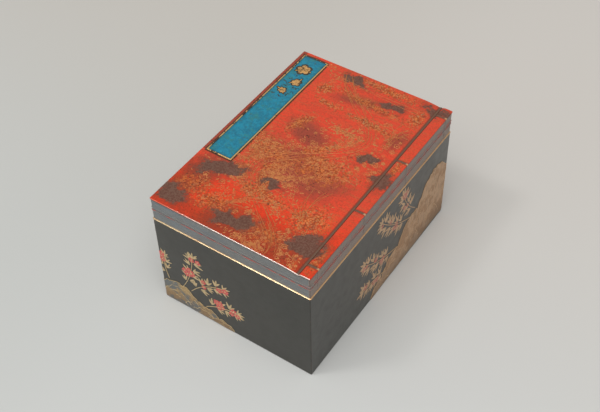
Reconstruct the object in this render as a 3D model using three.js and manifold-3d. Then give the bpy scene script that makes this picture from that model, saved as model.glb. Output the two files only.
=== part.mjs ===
// A black lacquer incense box. Its flush lid is carved as two thread-bound books, and a tray hangs inside.
// Millimetres, +Z up. The origin is the centre of the underside, the front is -Y and the spine is +X.
import * as THREE from "three";
import { mergeVertices } from "three/addons/utils/BufferGeometryUtils.js";
import Module from "manifold-3d";

// Box
const WIDTH = 83;
const LENGTH = 120;
const BOX_HEIGHT = 54.5;
const WALL = 3.6;
const FLOOR = 3;
const CORNER_RADIUS = 0.9;
const INNER_CORNER_RADIUS = 0.4;
const FOOT_RADIUS = 0.8;
const GLUE_LINE = 0.04;

// Inner lip that the lid slips over
const LIP = 1.6;
const LIP_RISE = 4.2;
const LID_FIT = 0.25;

// Gilt rims on both sides of the parting line
const RIM_HEIGHT = 0.5;
const RIM_PROUD = 0.2;

// Lid
const LID_HEIGHT = 12.9;
const COVER = 0.7;
const TOP_BOARD = 2.4;
const PAGE_INSET = 0.25;
const INNER_COVER = 0.4;
const COVER_NOTCH = 0.2;
const COVER_NOTCH_HEIGHT = 0.24;

// Dip of the front cover along the binding thread
const PRESS_DEPTH = 0.75;
const PRESS_REACH = 9;
const SPINE_REACH = 2.2;

// Binding thread
const THREAD_INSET = 6;
const THREAD_WIDTH = 0.9;
const THREAD_HEIGHT = 0.4;
const THREAD_PROUD = 0.14;
const THREAD_GAP = 0.03;
const STATION_COUNT = 4;
const STATION_END_MARGIN = 6.4;

// Title slip
const SLIP_WIDTH = 13.6;
const SLIP_LENGTH = 80;
const SLIP_SIDE_MARGIN = 2.2;
const SLIP_HEAD_MARGIN = 2.5;
const SLIP_BORDER = 0.6;
const SLIP_POCKET = 0.4;
const SLIP_PROUD = 0.3;
const BORDER_PROUD = 0.4;

// Tray
const TRAY_GAP = 0.4;
const TRAY_WALL = 1.8;
const TRAY_DEPTH = 14;
const TRAY_FLOOR = 1.6;
const FLANGE_HEIGHT = 1;
const FLANGE_INSET = 0.1;

// Fineness of the round stretches
const HALF_CORNER_STEPS = 3;
const FOOT_STEPS = 4;
const PRESS_STEPS = 6;

// Heights
const boxWallTop = BOX_HEIGHT - RIM_HEIGHT;
const lidWallBottom = BOX_HEIGHT + RIM_HEIGHT;
const lidTop = BOX_HEIGHT + LID_HEIGHT;
const pageTop = lidTop - COVER;
const lidWallTop = pageTop - TOP_BOARD;
const middle = (lidWallBottom + pageTop) / 2;
const lipTop = BOX_HEIGHT + LIP_RISE;
const trayBottom = lipTop - TRAY_DEPTH;

// Distances of faces from the box's outer faces, inwards as negative
const lipOuter = -(WALL + GLUE_LINE);
const lipInner = lipOuter - LIP;
const lidWallInner = lipOuter + LID_FIT;
const trayOuter = lipInner - TRAY_GAP;
const trayInner = trayOuter - TRAY_WALL;

// Places across the lid
const edgeX = WIDTH / 2;
const endY = LENGTH / 2;
const threadX = edgeX - THREAD_INSET;
const seatHalf = THREAD_WIDTH / 2 + THREAD_GAP;

const lacquers = {
  black: { color: 0x1b1a18, roughness: 0.25, metalness: 0 },
  red: { color: 0xb83a1e, roughness: 0.3, metalness: 0 },
  pages: { color: 0x6d6e70, roughness: 0.4, metalness: 0.1 },
  gilt: { color: 0xd8aa62, roughness: 0.3, metalness: 0.8 },
  turquoise: { color: 0x28849f, roughness: 0.35, metalness: 0 },
  thread: { color: 0x6e5a48, roughness: 0.5, metalness: 0 },
  sprinkled: { color: 0x8d6230, roughness: 0.35, metalness: 0.3 },
};

const wasm = await Module();
wasm.setup();

const box = new THREE.Group();

function add(name, geometry, lacquer) {
  const mesh = new THREE.Mesh(geometry, new THREE.MeshStandardMaterial(lacquers[lacquer]));
  mesh.name = name;
  box.add(mesh);
}

function solidFrom(geometry) {
  const bare = geometry.clone();
  bare.deleteAttribute("normal");
  bare.deleteAttribute("uv");
  const merged = mergeVertices(bare);
  const vertProperties = merged.attributes.position.array;
  const triVerts = new Uint32Array(merged.index.array);
  return new wasm.Manifold(new wasm.Mesh({ numProp: 3, vertProperties, triVerts }));
}

function geometryFrom(solid) {
  const mesh = solid.getMesh();
  const indexed = new THREE.BufferGeometry();
  indexed.setAttribute("position", new THREE.BufferAttribute(mesh.vertProperties, 3));
  indexed.setIndex(new THREE.BufferAttribute(mesh.triVerts, 1));
  const faceted = indexed.toNonIndexed();
  faceted.computeVertexNormals();
  return faceted;
}

// Corners of the box in the order in which they are met, anticlockwise from the front right.
const corners = [
  [1, -1],
  [1, 1],
  [-1, 1],
  [-1, -1],
];

// A point on the round corner of the box's outline, with the outline moved outwards by outset.
function cornerPoint([signX, signY], angle, outset) {
  const radius = Math.max(CORNER_RADIUS + outset, INNER_CORNER_RADIUS);
  const x = signX * (edgeX + outset - radius) + radius * Math.cos(angle);
  const y = signY * (endY + outset - radius) + radius * Math.sin(angle);
  return new THREE.Vector2(x, y);
}

// Plan points along one side, from the mitre of its first corner to the mitre of its last.
function sidePoints(side, outset) {
  const square = (side * Math.PI) / 2;
  const along = new THREE.Vector2(-Math.sin(square), Math.cos(square));
  const points = [];
  [0, 1].forEach((end) => {
    const corner = corners[(side + end) % corners.length];
    const shift = along.clone().multiplyScalar(end === 0 ? GLUE_LINE : -GLUE_LINE);
    for (let step = 0; step <= HALF_CORNER_STEPS; step += 1) {
      const angle = square + ((end - 1 + step / HALF_CORNER_STEPS) * Math.PI) / 4;
      points.push(cornerPoint(corner, angle, outset).add(shift));
    }
  });
  return points;
}

// A board along one side with mitred ends. Its [outset, z] profile runs anticlockwise.
function mitredBoard(side, profile) {
  const rows = profile.map(([outset, z]) => sidePoints(side, outset).map(({ x, y }) => [x, y, z]));
  const rowCount = rows.length;
  const stationCount = rows[0].length;
  const place = (station, row) => station * rowCount + (row % rowCount);
  const positions = [];
  for (let station = 0; station < stationCount; station += 1) {
    rows.forEach((row) => positions.push(...row[station]));
  }
  const faces = [];
  for (let station = 0; station < stationCount - 1; station += 1) {
    for (let row = 0; row < rowCount; row += 1) {
      const low = place(station, row);
      const lowNext = place(station + 1, row);
      const highNext = place(station + 1, row + 1);
      const high = place(station, row + 1);
      faces.push(low, lowNext, highNext, low, highNext, high);
    }
  }
  const contour = profile.map(([outset, z]) => new THREE.Vector2(outset, z));
  THREE.ShapeUtils.triangulateShape(contour, []).forEach(([a, b, c]) => {
    faces.push(place(0, a), place(0, b), place(0, c));
    faces.push(place(stationCount - 1, a), place(stationCount - 1, c), place(stationCount - 1, b));
  });
  const indexed = new THREE.BufferGeometry();
  indexed.setAttribute("position", new THREE.Float32BufferAttribute(positions, 3));
  indexed.setIndex(faces);
  const faceted = indexed.toNonIndexed();
  faceted.computeVertexNormals();
  return faceted;
}

function addBoards(name, profile, lacquer) {
  ["right", "back", "left", "front"].forEach((side, number) => {
    add(`${name}_${side}`, mitredBoard(number, profile), lacquer);
  });
}

function oblong(inner, outer, bottom, top) {
  return [
    [inner, bottom],
    [outer, bottom],
    [outer, top],
    [inner, top],
  ];
}

// A flat panel with the box's outline moved outwards by outset.
function panel(outset, bottom, top) {
  const points = corners.flatMap((corner, number) => {
    const square = (number * Math.PI) / 2;
    const steps = 2 * HALF_CORNER_STEPS;
    return Array.from({ length: steps + 1 }, (_, step) =>
      cornerPoint(corner, square - ((steps - step) / steps) * (Math.PI / 2), outset),
    );
  });
  const depth = top - bottom;
  return new THREE.ExtrudeGeometry(new THREE.Shape(points), { depth, bevelEnabled: false }).translate(0, 0, bottom);
}

function block(left, right, front, back, bottom, top) {
  return new THREE.BoxGeometry(right - left, back - front, top - bottom).translate(
    (left + right) / 2,
    (front + back) / 2,
    (bottom + top) / 2,
  );
}

// A bar along Y whose section is the given [x, z] points.
function bar(section, front, back) {
  const shape = new THREE.Shape(section.map(([x, z]) => new THREE.Vector2(x, z)));
  const depth = back - front;
  return new THREE.ExtrudeGeometry(shape, { depth, bevelEnabled: false })
    .rotateX(Math.PI / 2)
    .translate(0, back, 0);
}

// The pillow-like rise from the thread's seat to the spine strip, as [x, dip below the flat].
function spineRise() {
  return Array.from({ length: PRESS_STEPS + 1 }, (_, step) => {
    const angle = ((step / PRESS_STEPS) * Math.PI) / 2;
    const x = threadX + seatHalf + SPINE_REACH * (1 - Math.cos(angle));
    return [x, PRESS_DEPTH * (1 - Math.sin(angle))];
  });
}

// The slope down from the flat of the cover to the thread's seat.
function pressedSlope() {
  return Array.from({ length: PRESS_STEPS + 1 }, (_, step) => {
    const share = step / PRESS_STEPS;
    const x = threadX - seatHalf - PRESS_REACH * (1 - share);
    return [x, PRESS_DEPTH * share * share];
  });
}

// The line of a cover from left to right, as [x, z], with its flat at height.
function coverLine(height, left, right) {
  const dips = [[left, 0], ...pressedSlope(), ...spineRise(), [right, 0]];
  return dips.map(([x, dip]) => [x, height - dip]);
}

function footCurve() {
  return Array.from({ length: FOOT_STEPS + 1 }, (_, step) => {
    const angle = ((step / FOOT_STEPS) * Math.PI) / 2;
    return [-FOOT_RADIUS * (1 - Math.sin(angle)), FOOT_RADIUS * (1 - Math.cos(angle))];
  });
}

function addBox() {
  add("box_bottom", panel(lipOuter, 0, FLOOR), "sprinkled");
  const wall = [[-WALL, 0], ...footCurve(), [0, boxWallTop], [-WALL, boxWallTop]];
  addBoards("box_wall", wall, "black");
  addBoards("lip", oblong(lipInner, lipOuter, FLOOR, lipTop), "sprinkled");
  addBoards("box_rim", oblong(-WALL, RIM_PROUD, boxWallTop, BOX_HEIGHT), "gilt");
}

// The page edges of both books, with the two inner covers that meet between them.
function pageProfile() {
  const notch = COVER_NOTCH_HEIGHT / 2;
  return [
    [lidWallInner, lidWallBottom],
    [-PAGE_INSET, lidWallBottom],
    [-PAGE_INSET, middle - INNER_COVER],
    [0, middle - INNER_COVER],
    [0, middle - notch],
    [-COVER_NOTCH, middle],
    [0, middle + notch],
    [0, middle + INNER_COVER],
    [-PAGE_INSET, middle + INNER_COVER],
    [-PAGE_INSET, lidWallTop],
    [lidWallInner, lidWallTop],
  ];
}

// The left, right, front and back of the slip's pocket, drawn in by inset.
function slipEdges(inset) {
  const left = -edgeX + SLIP_SIDE_MARGIN;
  const back = endY - SLIP_HEAD_MARGIN;
  return [left + inset, left + SLIP_WIDTH - inset, back - SLIP_LENGTH + inset, back - inset];
}

function addCover() {
  const section = [...coverLine(pageTop, -edgeX, edgeX), ...coverLine(lidTop, -edgeX, edgeX).reverse()];
  const outline = solidFrom(panel(0, lidWallTop, lidTop + COVER));
  const pocket = solidFrom(block(...slipEdges(0), lidTop - SLIP_POCKET, lidTop + COVER));
  const cover = solidFrom(bar(section, -endY, endY)).intersect(outline).subtract(pocket);
  add("book_cover", geometryFrom(cover), "red");
}

function addTopBoard() {
  const half = edgeX - PAGE_INSET;
  const section = [[half, lidWallTop], ...coverLine(pageTop, -half, half).reverse(), [-half, lidWallTop]];
  const outline = solidFrom(panel(-PAGE_INSET, lidWallTop - COVER, lidTop));
  const board = solidFrom(bar(section.reverse(), -endY, endY)).intersect(outline);
  add("lid_top_board", geometryFrom(board), "pages");
}

function addTitleSlip() {
  const bottom = lidTop - SLIP_POCKET;
  const slip = block(...slipEdges(SLIP_BORDER + GLUE_LINE), bottom, lidTop + SLIP_PROUD);
  add("title_slip", slip, "turquoise");
  const frame = solidFrom(block(...slipEdges(GLUE_LINE), bottom, lidTop + BORDER_PROUD));
  const hole = solidFrom(block(...slipEdges(SLIP_BORDER), bottom - COVER, lidTop + COVER));
  add("title_slip_border", geometryFrom(frame.subtract(hole)), "gilt");
}

function addLid() {
  addBoards("lid_rim", oblong(lidWallInner, RIM_PROUD, BOX_HEIGHT, lidWallBottom), "gilt");
  addBoards("lid_wall", pageProfile(), "pages");
  addTopBoard();
  addCover();
  addTitleSlip();
}

// The thread over the spine strip, the cover's edge and the upper book's page edges.
function upperThreadSection() {
  const pageX = edgeX - PAGE_INSET;
  const outerX = edgeX + THREAD_PROUD;
  const strip = spineRise().map(([x, dip]) => [x, lidTop - dip]);
  const crown = strip.map(([x, z]) => [x, z + THREAD_HEIGHT]).reverse();
  return [
    ...strip,
    [edgeX, lidTop],
    [edgeX, pageTop],
    [pageX, pageTop],
    [pageX, middle + INNER_COVER],
    [outerX, middle + INNER_COVER],
    [outerX, lidTop + THREAD_HEIGHT - THREAD_PROUD],
    [edgeX, lidTop + THREAD_HEIGHT],
    ...crown,
  ];
}

function addThreads() {
  const half = THREAD_WIDTH / 2;
  const seat = lidTop - PRESS_DEPTH;
  add("spine_thread", block(threadX - half, threadX + half, -endY, endY, seat, seat + THREAD_HEIGHT), "thread");
  const pitch = (LENGTH - 2 * STATION_END_MARGIN) / (STATION_COUNT - 1);
  const section = upperThreadSection();
  for (let number = 1; number <= STATION_COUNT; number += 1) {
    const y = -endY + STATION_END_MARGIN + (number - 1) * pitch;
    add(`upper_thread_${number}`, bar(section, y - half, y + half), "thread");
    const lower = block(
      edgeX - PAGE_INSET,
      edgeX + THREAD_PROUD,
      y - half,
      y + half,
      lidWallBottom,
      middle - INNER_COVER,
    );
    add(`lower_thread_${number}`, lower, "thread");
  }
}

function addTray() {
  add("tray_bottom", panel(trayInner - GLUE_LINE, trayBottom, trayBottom + TRAY_FLOOR), "sprinkled");
  addBoards("tray_wall", oblong(trayInner, trayOuter, trayBottom, lipTop), "black");
  const flangeOuter = lipOuter - FLANGE_INSET;
  addBoards("tray_flange", oblong(trayInner, flangeOuter, lipTop, lipTop + FLANGE_HEIGHT), "gilt");
}

addBox();
addTray();
addLid();
addThreads();

export default box;
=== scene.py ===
"""Lacquer, gilding, page edges and raised gold for an incense box whose lid is carved as two bound books."""

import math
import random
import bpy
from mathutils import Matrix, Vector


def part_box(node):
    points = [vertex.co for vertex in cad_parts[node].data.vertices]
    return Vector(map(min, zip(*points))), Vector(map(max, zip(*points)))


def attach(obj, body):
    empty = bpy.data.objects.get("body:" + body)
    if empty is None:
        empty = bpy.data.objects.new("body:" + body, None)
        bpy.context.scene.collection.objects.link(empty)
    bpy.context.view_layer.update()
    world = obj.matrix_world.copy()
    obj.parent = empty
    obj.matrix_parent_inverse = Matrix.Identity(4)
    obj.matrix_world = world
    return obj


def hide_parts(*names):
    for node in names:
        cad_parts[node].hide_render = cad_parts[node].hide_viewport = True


bl_info = {
    "name": "Book-lidded incense box",
    "version": (1, 0, 0),
    "blender": (4, 5, 0),
    "location": "3D View > Sidebar > Incense Box",
    "description": "Builds the lacquer, binding, decoration and studio of a book-lidded incense box",
    "category": "Object",
}

import bpy
import numpy as np
from mathutils import Matrix, Vector, noise

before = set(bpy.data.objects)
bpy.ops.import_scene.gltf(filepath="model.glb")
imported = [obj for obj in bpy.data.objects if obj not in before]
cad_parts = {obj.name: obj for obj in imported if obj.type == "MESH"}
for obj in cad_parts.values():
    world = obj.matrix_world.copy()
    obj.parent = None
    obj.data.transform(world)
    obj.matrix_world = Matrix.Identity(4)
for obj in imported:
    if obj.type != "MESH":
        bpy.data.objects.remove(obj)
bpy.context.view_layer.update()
MM = 0.001
SIDES = ("right", "back", "left", "front")
X, Y, Z = 0, 1, 2
TINY = 1e-12
PETALS = 5


def low(node, axis):
    """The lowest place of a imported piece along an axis."""
    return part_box(node)[0][axis]


def high(node, axis):
    """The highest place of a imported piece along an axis."""
    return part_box(node)[1][axis]


def all_sides(part):
    """The names of a ring's four boards."""
    return [f"{part}_{side}" for side in SIDES]


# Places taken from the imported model
HALF_X = high("book_cover", X)
HALF_Y = high("book_cover", Y)
WALL = HALF_X - low("box_wall_right", X)
PARTING = high("box_rim_right", Z)
RIM_OUT = high("box_rim_right", X) - HALF_X
FLOOR_TOP = high("box_bottom", Z)
LIP_OUTER = high("lip_right", X) - HALF_X
LIP_INNER = low("lip_right", X) - HALF_X
LIP_TOP = high("lip_right", Z)
LID_BOTTOM = low("lid_wall_right", Z)
LID_WALL_TOP = high("lid_wall_right", Z)
LID_INNER = low("lid_wall_right", X) - HALF_X
COVER_TOP = high("book_cover", Z)
PAGE_TOP = high("lid_top_board", Z)
PAGE_INSET = HALF_X - high("lid_top_board", X)
PRESS_DEPTH = PAGE_TOP - low("book_cover", Z)
COVER_LEAF = COVER_TOP - PAGE_TOP
LOWER_LEAF = high("lower_thread_1", Z)
UPPER_LEAF = low("upper_thread_1", Z)
MIDDLE = (LOWER_LEAF + UPPER_LEAF) / 2
THREAD_LEFT = low("spine_thread", X)
THREAD_RIGHT = high("spine_thread", X)
TRAY_INNER = low("tray_wall_right", X) - HALF_X
TRAY_OUTER = high("tray_wall_right", X) - HALF_X
TRAY_BOTTOM = low("tray_wall_right", Z)
TRAY_TOP = high("tray_wall_right", Z)
FLANGE_OUTER = high("tray_flange_right", X) - HALF_X
FLANGE_TOP = high("tray_flange_right", Z)
SLIP_LOW, SLIP_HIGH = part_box("title_slip_border")
STATION_YS = [(low(f"upper_thread_{n}", Y) + high(f"upper_thread_{n}", Y)) / 2 for n in range(1, 5)]
WALK_LENGTH = 4 * (HALF_X + HALF_Y)
SLIP_SUNK = 0.12 * MM


def shade(red, green, blue):
    """A colour as it shows on a screen, from 0 to 255, turned into the values that a shader works with."""
    values = [channel / 255 for channel in (red, green, blue)]
    return tuple(v / 12.92 if v <= 0.04045 else ((v + 0.055) / 1.055) ** 2.4 for v in values)


def colour(name, description, red, green, blue):
    """A colour that a user can change."""
    return bpy.props.FloatVectorProperty(
        name=name,
        description=description,
        size=3,
        min=0,
        max=1,
        subtype="COLOR",
        default=shade(red, green, blue),
    )


def length(name, description, millimetres):
    """A length that a user can change."""
    return bpy.props.FloatProperty(
        name=name,
        description=description,
        min=0,
        precision=5,
        subtype="DISTANCE",
        unit="LENGTH",
        default=millimetres * MM,
    )


def amount(name, description, default, highest=1.0):
    """A plain number that a user can change."""
    return bpy.props.FloatProperty(name=name, description=description, min=0, max=highest, default=default)


def camera_value(name, description, default):
    """A number of the camera's that a user can change."""
    return bpy.props.FloatProperty(name=name, description=description, default=default)


class BoxForm(bpy.types.PropertyGroup):
    """Small sizes of the box's surfaces."""

    corner: length("Corner radius", "Radius of the upright corners", 0.5)
    inner_corner: length("Inner corner radius", "Least radius of inner corners", 0.4)
    foot: length("Foot radius", "Radius of the rounded foot", 0.6)
    edge: length("Edge radius", "Softness of small edges", 0.12)
    cover_edge: length("Cover edge radius", "Softness of the cover's edge", 0.24)
    cover_step: length("Cover spacing", "Spacing of the cover's points", 0.55)
    slope: length("Slope", "Reach of the cover's slope down to the thread", 9)
    pillow: length("Pillow", "Reach of the rise from the thread to the spine strip", 2.2)
    seat_gap: length("Seat gap", "Clearance beside the thread", 0.03)
    gilt_rim: length("Gilt rim", "Height of the gilding below the parting line", 0.22)
    lid_rim: length("Lid rim", "Height of the gilding above the parting line", 0.28)
    lid_rim_edge: length("Lid rim's edge", "Height of the lid rim's upright edge below its sloping top", 0.1)
    leaf_pitch: length("Leaf pitch", "Distance between two page edges", 0.34)
    leaf_relief: length("Leaf relief", "Depth of the line between two page edges", 0.05)
    inner_leaf: length("Inner cover", "Thickness of each inner cover", 0.2)
    lower_cover: length("Lower inner cover", "How far below the middle the lower book's cover lies", 0.45)
    upper_cover: length("Upper inner cover", "Height of the upper book's back cover above the middle", 0.95)
    gape: length("Gape", "Height of the gap between the books at the thread", 0.5)
    gape_reach: length("Gape reach", "Length of the gap between the books", 4.2)
    cross_thread: length("Cross thread", "Thickness of the threads across the spine", 0.13)
    thread_edge: length("Thread softness", "Softness of the thread's edges", 0.16)


class BoxColours(bpy.types.PropertyGroup):
    """Colours of the lacquers, metals and glaze."""

    black: colour("Black lacquer", "Main colour of the box", 41, 39, 32)
    edge_wear: colour("Worn edge", "Brown that shows through at worn corners", 96, 66, 46)
    red: colour("Red lacquer", "Ground of the cover", 222, 71, 45)
    deep_red: colour("Deep red", "Shaded parts of the cover", 158, 70, 52)
    amber: colour("Amber mist", "Sprinkled mist on the cover", 212, 112, 44)
    dull_amber: colour("Dull amber", "Duller grains of the mist", 176, 88, 46)
    umber: colour("Umber cloud", "Dark clouds on the cover", 86, 60, 49)
    cloud_grey: colour("Cloud grey", "Greyer grains of the clouds", 108, 84, 70)
    gold: colour("Gold", "Raised gold decoration", 224, 198, 152)
    pale_gold: colour("Pale gold", "Raised gold on the tall slope", 204, 168, 130)
    line_gold: colour("Line gold", "Fine gold lines on the cover", 200, 128, 72)
    worn_line: colour("Worn line", "The ground that shows where the fine gold is rubbed", 170, 78, 46)
    gilt: colour("Gilding", "Gilt rims", 240, 210, 166)
    frame_gold: colour("Frame gold", "Slip frame", 238, 196, 130)
    pages: colour("Page edges", "Grey of the page edges", 130, 129, 125)
    page_lines: colour("Page lines", "Darker lines between pages", 110, 109, 107)
    spine_pages: colour("Spine", "Warmer grey of the book's back", 136, 121, 112)
    inner_red: colour("Inner cover red", "Edges of the inner covers", 196, 82, 66)
    turquoise: colour("Turquoise", "Glaze of the title slip", 30, 134, 160)
    deep_turquoise: colour("Deep turquoise", "Darker mottling of the glaze", 26, 108, 132)
    thread: colour("Thread", "Binding thread", 116, 84, 64)
    blossom: colour("Blossom", "Red blossoms over the low bank", 210, 84, 76)
    dull_blossom: colour("Dull blossom", "Rubbed blossoms over the tall slope", 184, 98, 82)
    bank: colour("Bank gold", "Gold of the low bank", 190, 158, 108)
    bank_shade: colour("Bank shade", "Grey of the low bank", 112, 120, 122)
    slope: colour("Slope bronze", "Bronze of the tall slope", 192, 154, 118)
    slope_shade: colour("Slope shade", "Darker bronze of the tall slope", 172, 134, 100)
    inside: colour("Inside lacquer", "Ground of the sprinkled inside", 48, 30, 20)
    inside_gold: colour("Inside gold", "Gold flakes inside", 190, 134, 62)


class StudioForm(bpy.types.PropertyGroup):
    """The camera, floor and lights."""

    azimuth: camera_value("Azimuth", "Camera azimuth in degrees", 35.02)
    elevation: camera_value("Elevation", "Camera elevation in degrees", 46.81)
    roll: camera_value("Roll", "Camera roll in degrees", -1.475)
    lens: camera_value("Lens", "Focal length in millimetres", 61.26)
    place: bpy.props.FloatVectorProperty(
        name="Camera place",
        description="Where the camera stands",
        size=3,
        subtype="TRANSLATION",
        unit="LENGTH",
        default=(0.1861, -0.272, 0.3839),
    )
    floor: colour("Floor", "Colour of the near floor", 204, 205, 202)
    # Painted shade: the far floor is warmer and a little darker than the near floor
    shaded_far_floor: colour("Far floor", "Colour of the far floor", 204, 199, 192)
    lamp_distance: length("Lamp distance", "How far away both lamps stand", 2500)
    key: amount("Key power", "Watts of the lamp at the front left", 8.6, 500)
    key_size: length("Key size", "Width of the lamp at the front left", 380)
    broad: amount("Broad power", "Watts of the broad lamp above the front", 47, 500)
    broad_size: length("Broad size", "Width of the broad lamp above the front", 2300)
    sky: amount("Sky", "Brightness of the surroundings", 0.425, 5)
    sky_lean: amount("Sky lean", "How much brighter the lamps' side of the surroundings is", 0.1)


def form():
    return bpy.context.scene.incense_form


def colours():
    return bpy.context.scene.incense_colours


def studio():
    return bpy.context.scene.incense_studio


# Node building


class Nodes:
    """Adds nodes to a tree."""

    def __init__(self, tree):
        self.tree = tree

    def put(self, kind, inputs=None, **settings):
        """Adds a node. inputs maps an input's name or number to a value or to another node's output."""
        node = self.tree.nodes.new(kind)
        for key, value in settings.items():
            setattr(node, key, value)
        for key, value in (inputs or {}).items():
            self.feed(node, key, value)
        return node

    def feed(self, node, key, value):
        """Gives an input a value, or links another node's output to it."""
        if isinstance(value, bpy.types.NodeSocket):
            self.tree.links.new(value, node.inputs[key])
        else:
            node.inputs[key].default_value = value

    def maths(self, operation, first, second=0.0):
        return self.put("ShaderNodeMath", {0: first, 1: second}, operation=operation).outputs[0]

    def times(self, first, second):
        return self.maths("MULTIPLY", first, second)

    def plus(self, first, second):
        return self.maths("ADD", first, second)

    def minus(self, first, second):
        return self.maths("SUBTRACT", first, second)

    def ramp(self, value, start, end, least=0.0, most=1.0):
        """Value eased from least to most between start and end."""
        inputs = {"Value": value, "From Min": start, "From Max": end, "To Min": least, "To Max": most}
        return self.put("ShaderNodeMapRange", inputs, interpolation_type="SMOOTHSTEP").outputs[0]


class Finish(Nodes):
    """A material being made: its shader, its Object coordinates in millimetres, and its tone so far."""

    def __init__(self, name, ground):
        self.material = bpy.data.materials.new(name)
        self.material.use_nodes = True
        super().__init__(self.material.node_tree)
        self.tree.nodes.clear()
        self.shader = self.put("ShaderNodeBsdfPrincipled")
        self.put("ShaderNodeOutputMaterial", {"Surface": self.shader.outputs["BSDF"]})
        metres = self.put("ShaderNodeTexCoord").outputs["Object"]
        scaled = self.put("ShaderNodeVectorMath", {0: metres, 1: (1 / MM,) * 3}, operation="MULTIPLY")
        self.place = scaled.outputs[0]
        self.tone = ground

    def axes(self):
        """The place along each axis, in millimetres."""
        return tuple(self.put("ShaderNodeSeparateXYZ", {"Vector": self.place}).outputs)

    def painted(self, name):
        """A value painted on the mesh's points."""
        return self.put("ShaderNodeAttribute", attribute_name=name).outputs["Fac"]

    def grain(self, scale, detail=3.0, rough=0.55, stretch=None):
        """A noise value over the surface, with scale in cycles to a millimetre."""
        place = self.place
        if stretch:
            place = self.put("ShaderNodeMapping", {"Vector": place, "Scale": stretch}).outputs[0]
        inputs = {"Vector": place, "Scale": scale, "Detail": detail, "Roughness": rough}
        return self.put("ShaderNodeTexNoise", inputs).outputs["Fac"]

    def cells(self, scale):
        """The distance from the nearest of many strewn seeds, with scale in seeds to a millimetre."""
        inputs = {"Vector": self.place, "Scale": scale, "Randomness": 1.0}
        return self.put("ShaderNodeTexVoronoi", inputs).outputs["Distance"]

    def blend(self, share, under, over, kind="MIX"):
        """Under with over laid on it by share."""
        inputs = {0: share}
        for key, layer in ((6, under), (7, over)):
            inputs[key] = layer if isinstance(layer, bpy.types.NodeSocket) else (*layer, 1.0)
        return self.put("ShaderNodeMix", inputs, data_type="RGBA", blend_type=kind).outputs[2]

    def lay(self, share, over, kind="MIX"):
        """Lays a colour over the tone by share."""
        self.tone = self.blend(share, self.tone, over, kind)

    def mottle(self, noise_form, limits, over, most=1.0):
        """Lays a colour where a (scale, detail, roughness) noise passes its limits, and returns where."""
        share = self.ramp(self.grain(*noise_form), *limits, 0, most)
        self.lay(share, over)
        return share

    def polish(self, rough, coat, coat_rough):
        """The polish of a lacquered surface."""
        self.feed(self.shader, "Roughness", rough)
        self.feed(self.shader, "Coat Weight", coat)
        self.feed(self.shader, "Coat Roughness", coat_rough)

    def done(self, sockets, height=None, strength=0.0, depth=0.0):
        """Finishes the material with more of the shader's sockets, and relief of a depth in metres."""
        for label, value in {**sockets, "Base Color": self.tone}.items():
            self.feed(self.shader, label, value)
        if height:
            bump = self.put("ShaderNodeBump", {"Height": height, "Strength": strength, "Distance": depth})
            self.feed(self.shader, "Normal", bump.outputs[0])
        return self.material


def toned(rgb, share):
    """A colour made darker or brighter."""
    return [min(1.0, channel * share) for channel in rgb]


# Finishes


def black_lacquer():
    """Old black lacquer: faint bloom, fine dust, brown wear, and painted shade where the mesh is painted
    with shadow.
    """
    palette = colours()
    coat = Finish("black_lacquer", palette.black)
    coat.mottle((0.035, 4), (0.3, 0.75), toned(palette.black, 1.25))
    coat.mottle((1.6, 3), (0.6, 0.76), shade(106, 106, 104), 0.24)
    # Painted shade: dark lines under the rim, along the foot and at the upright corners
    coat.lay(coat.painted("shadow"), shade(26, 25, 22))
    worn = coat.ramp(coat.grain(0.5, 4), 0.36, 0.62)
    coat.lay(coat.times(coat.painted("wear"), worn), palette.edge_wear)
    coat.polish(rough=0.34, coat=0.15, coat_rough=0.16)
    rough = coat.ramp(coat.grain(0.22, 5), 0.25, 0.8, 0.29, 0.4)
    return coat.done({"Roughness": rough}, coat.grain(0.16, 3), strength=0.1, depth=0.0004)


def page_grey():
    """Grey page edges with streaks and stains, cooler at the front left and warmer at the spine, darker in
    the seam between the books, with painted shade under the cover's edge and at the upright corners.
    """
    palette = colours()
    coat = Finish("page_grey", palette.pages)
    streaks = coat.grain(1.0, 3, 0.6, (0.05, 0.05, 3.4))
    coat.lay(coat.ramp(streaks, 0.36, 0.64), palette.page_lines)
    coat.mottle((0.11, 4), (0.5, 0.75), shade(104, 94, 88), 0.4)
    x = coat.axes()[X]
    cool = coat.times(coat.ramp(x, -36, 10, 0.75, 0.3), coat.ramp(streaks, 0.4, 0.6))
    coat.lay(cool, shade(118, 130, 138))
    coat.lay(coat.ramp(x, HALF_X / MM - 1.2, HALF_X / MM - 0.7), palette.spine_pages)
    # A dark seam where the books meet, and painted shade under the cover's edge and at the upright corners
    coat.lay(coat.painted("hollow"), shade(34, 30, 30))
    coat.polish(rough=0.42, coat=0.12, coat_rough=0.25)
    return coat.done({}, streaks, strength=0.3, depth=0.0001)


def inner_cover_red():
    """The thin red edges of the inner covers, rubbed to grey in places and bare where painted so."""
    palette = colours()
    coat = Finish("inner_cover_red", palette.inner_red)
    rubbed = coat.ramp(coat.grain(0.26, 5, 0.74), 0.4, 0.58, 0.2, 0.95)
    coat.lay(coat.maths("MAXIMUM", rubbed, coat.painted("bare")), palette.pages)
    coat.polish(rough=0.4, coat=0.1, coat_rough=0.2)
    return coat.done({}, rubbed, strength=0.25, depth=0.00008)


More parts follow.
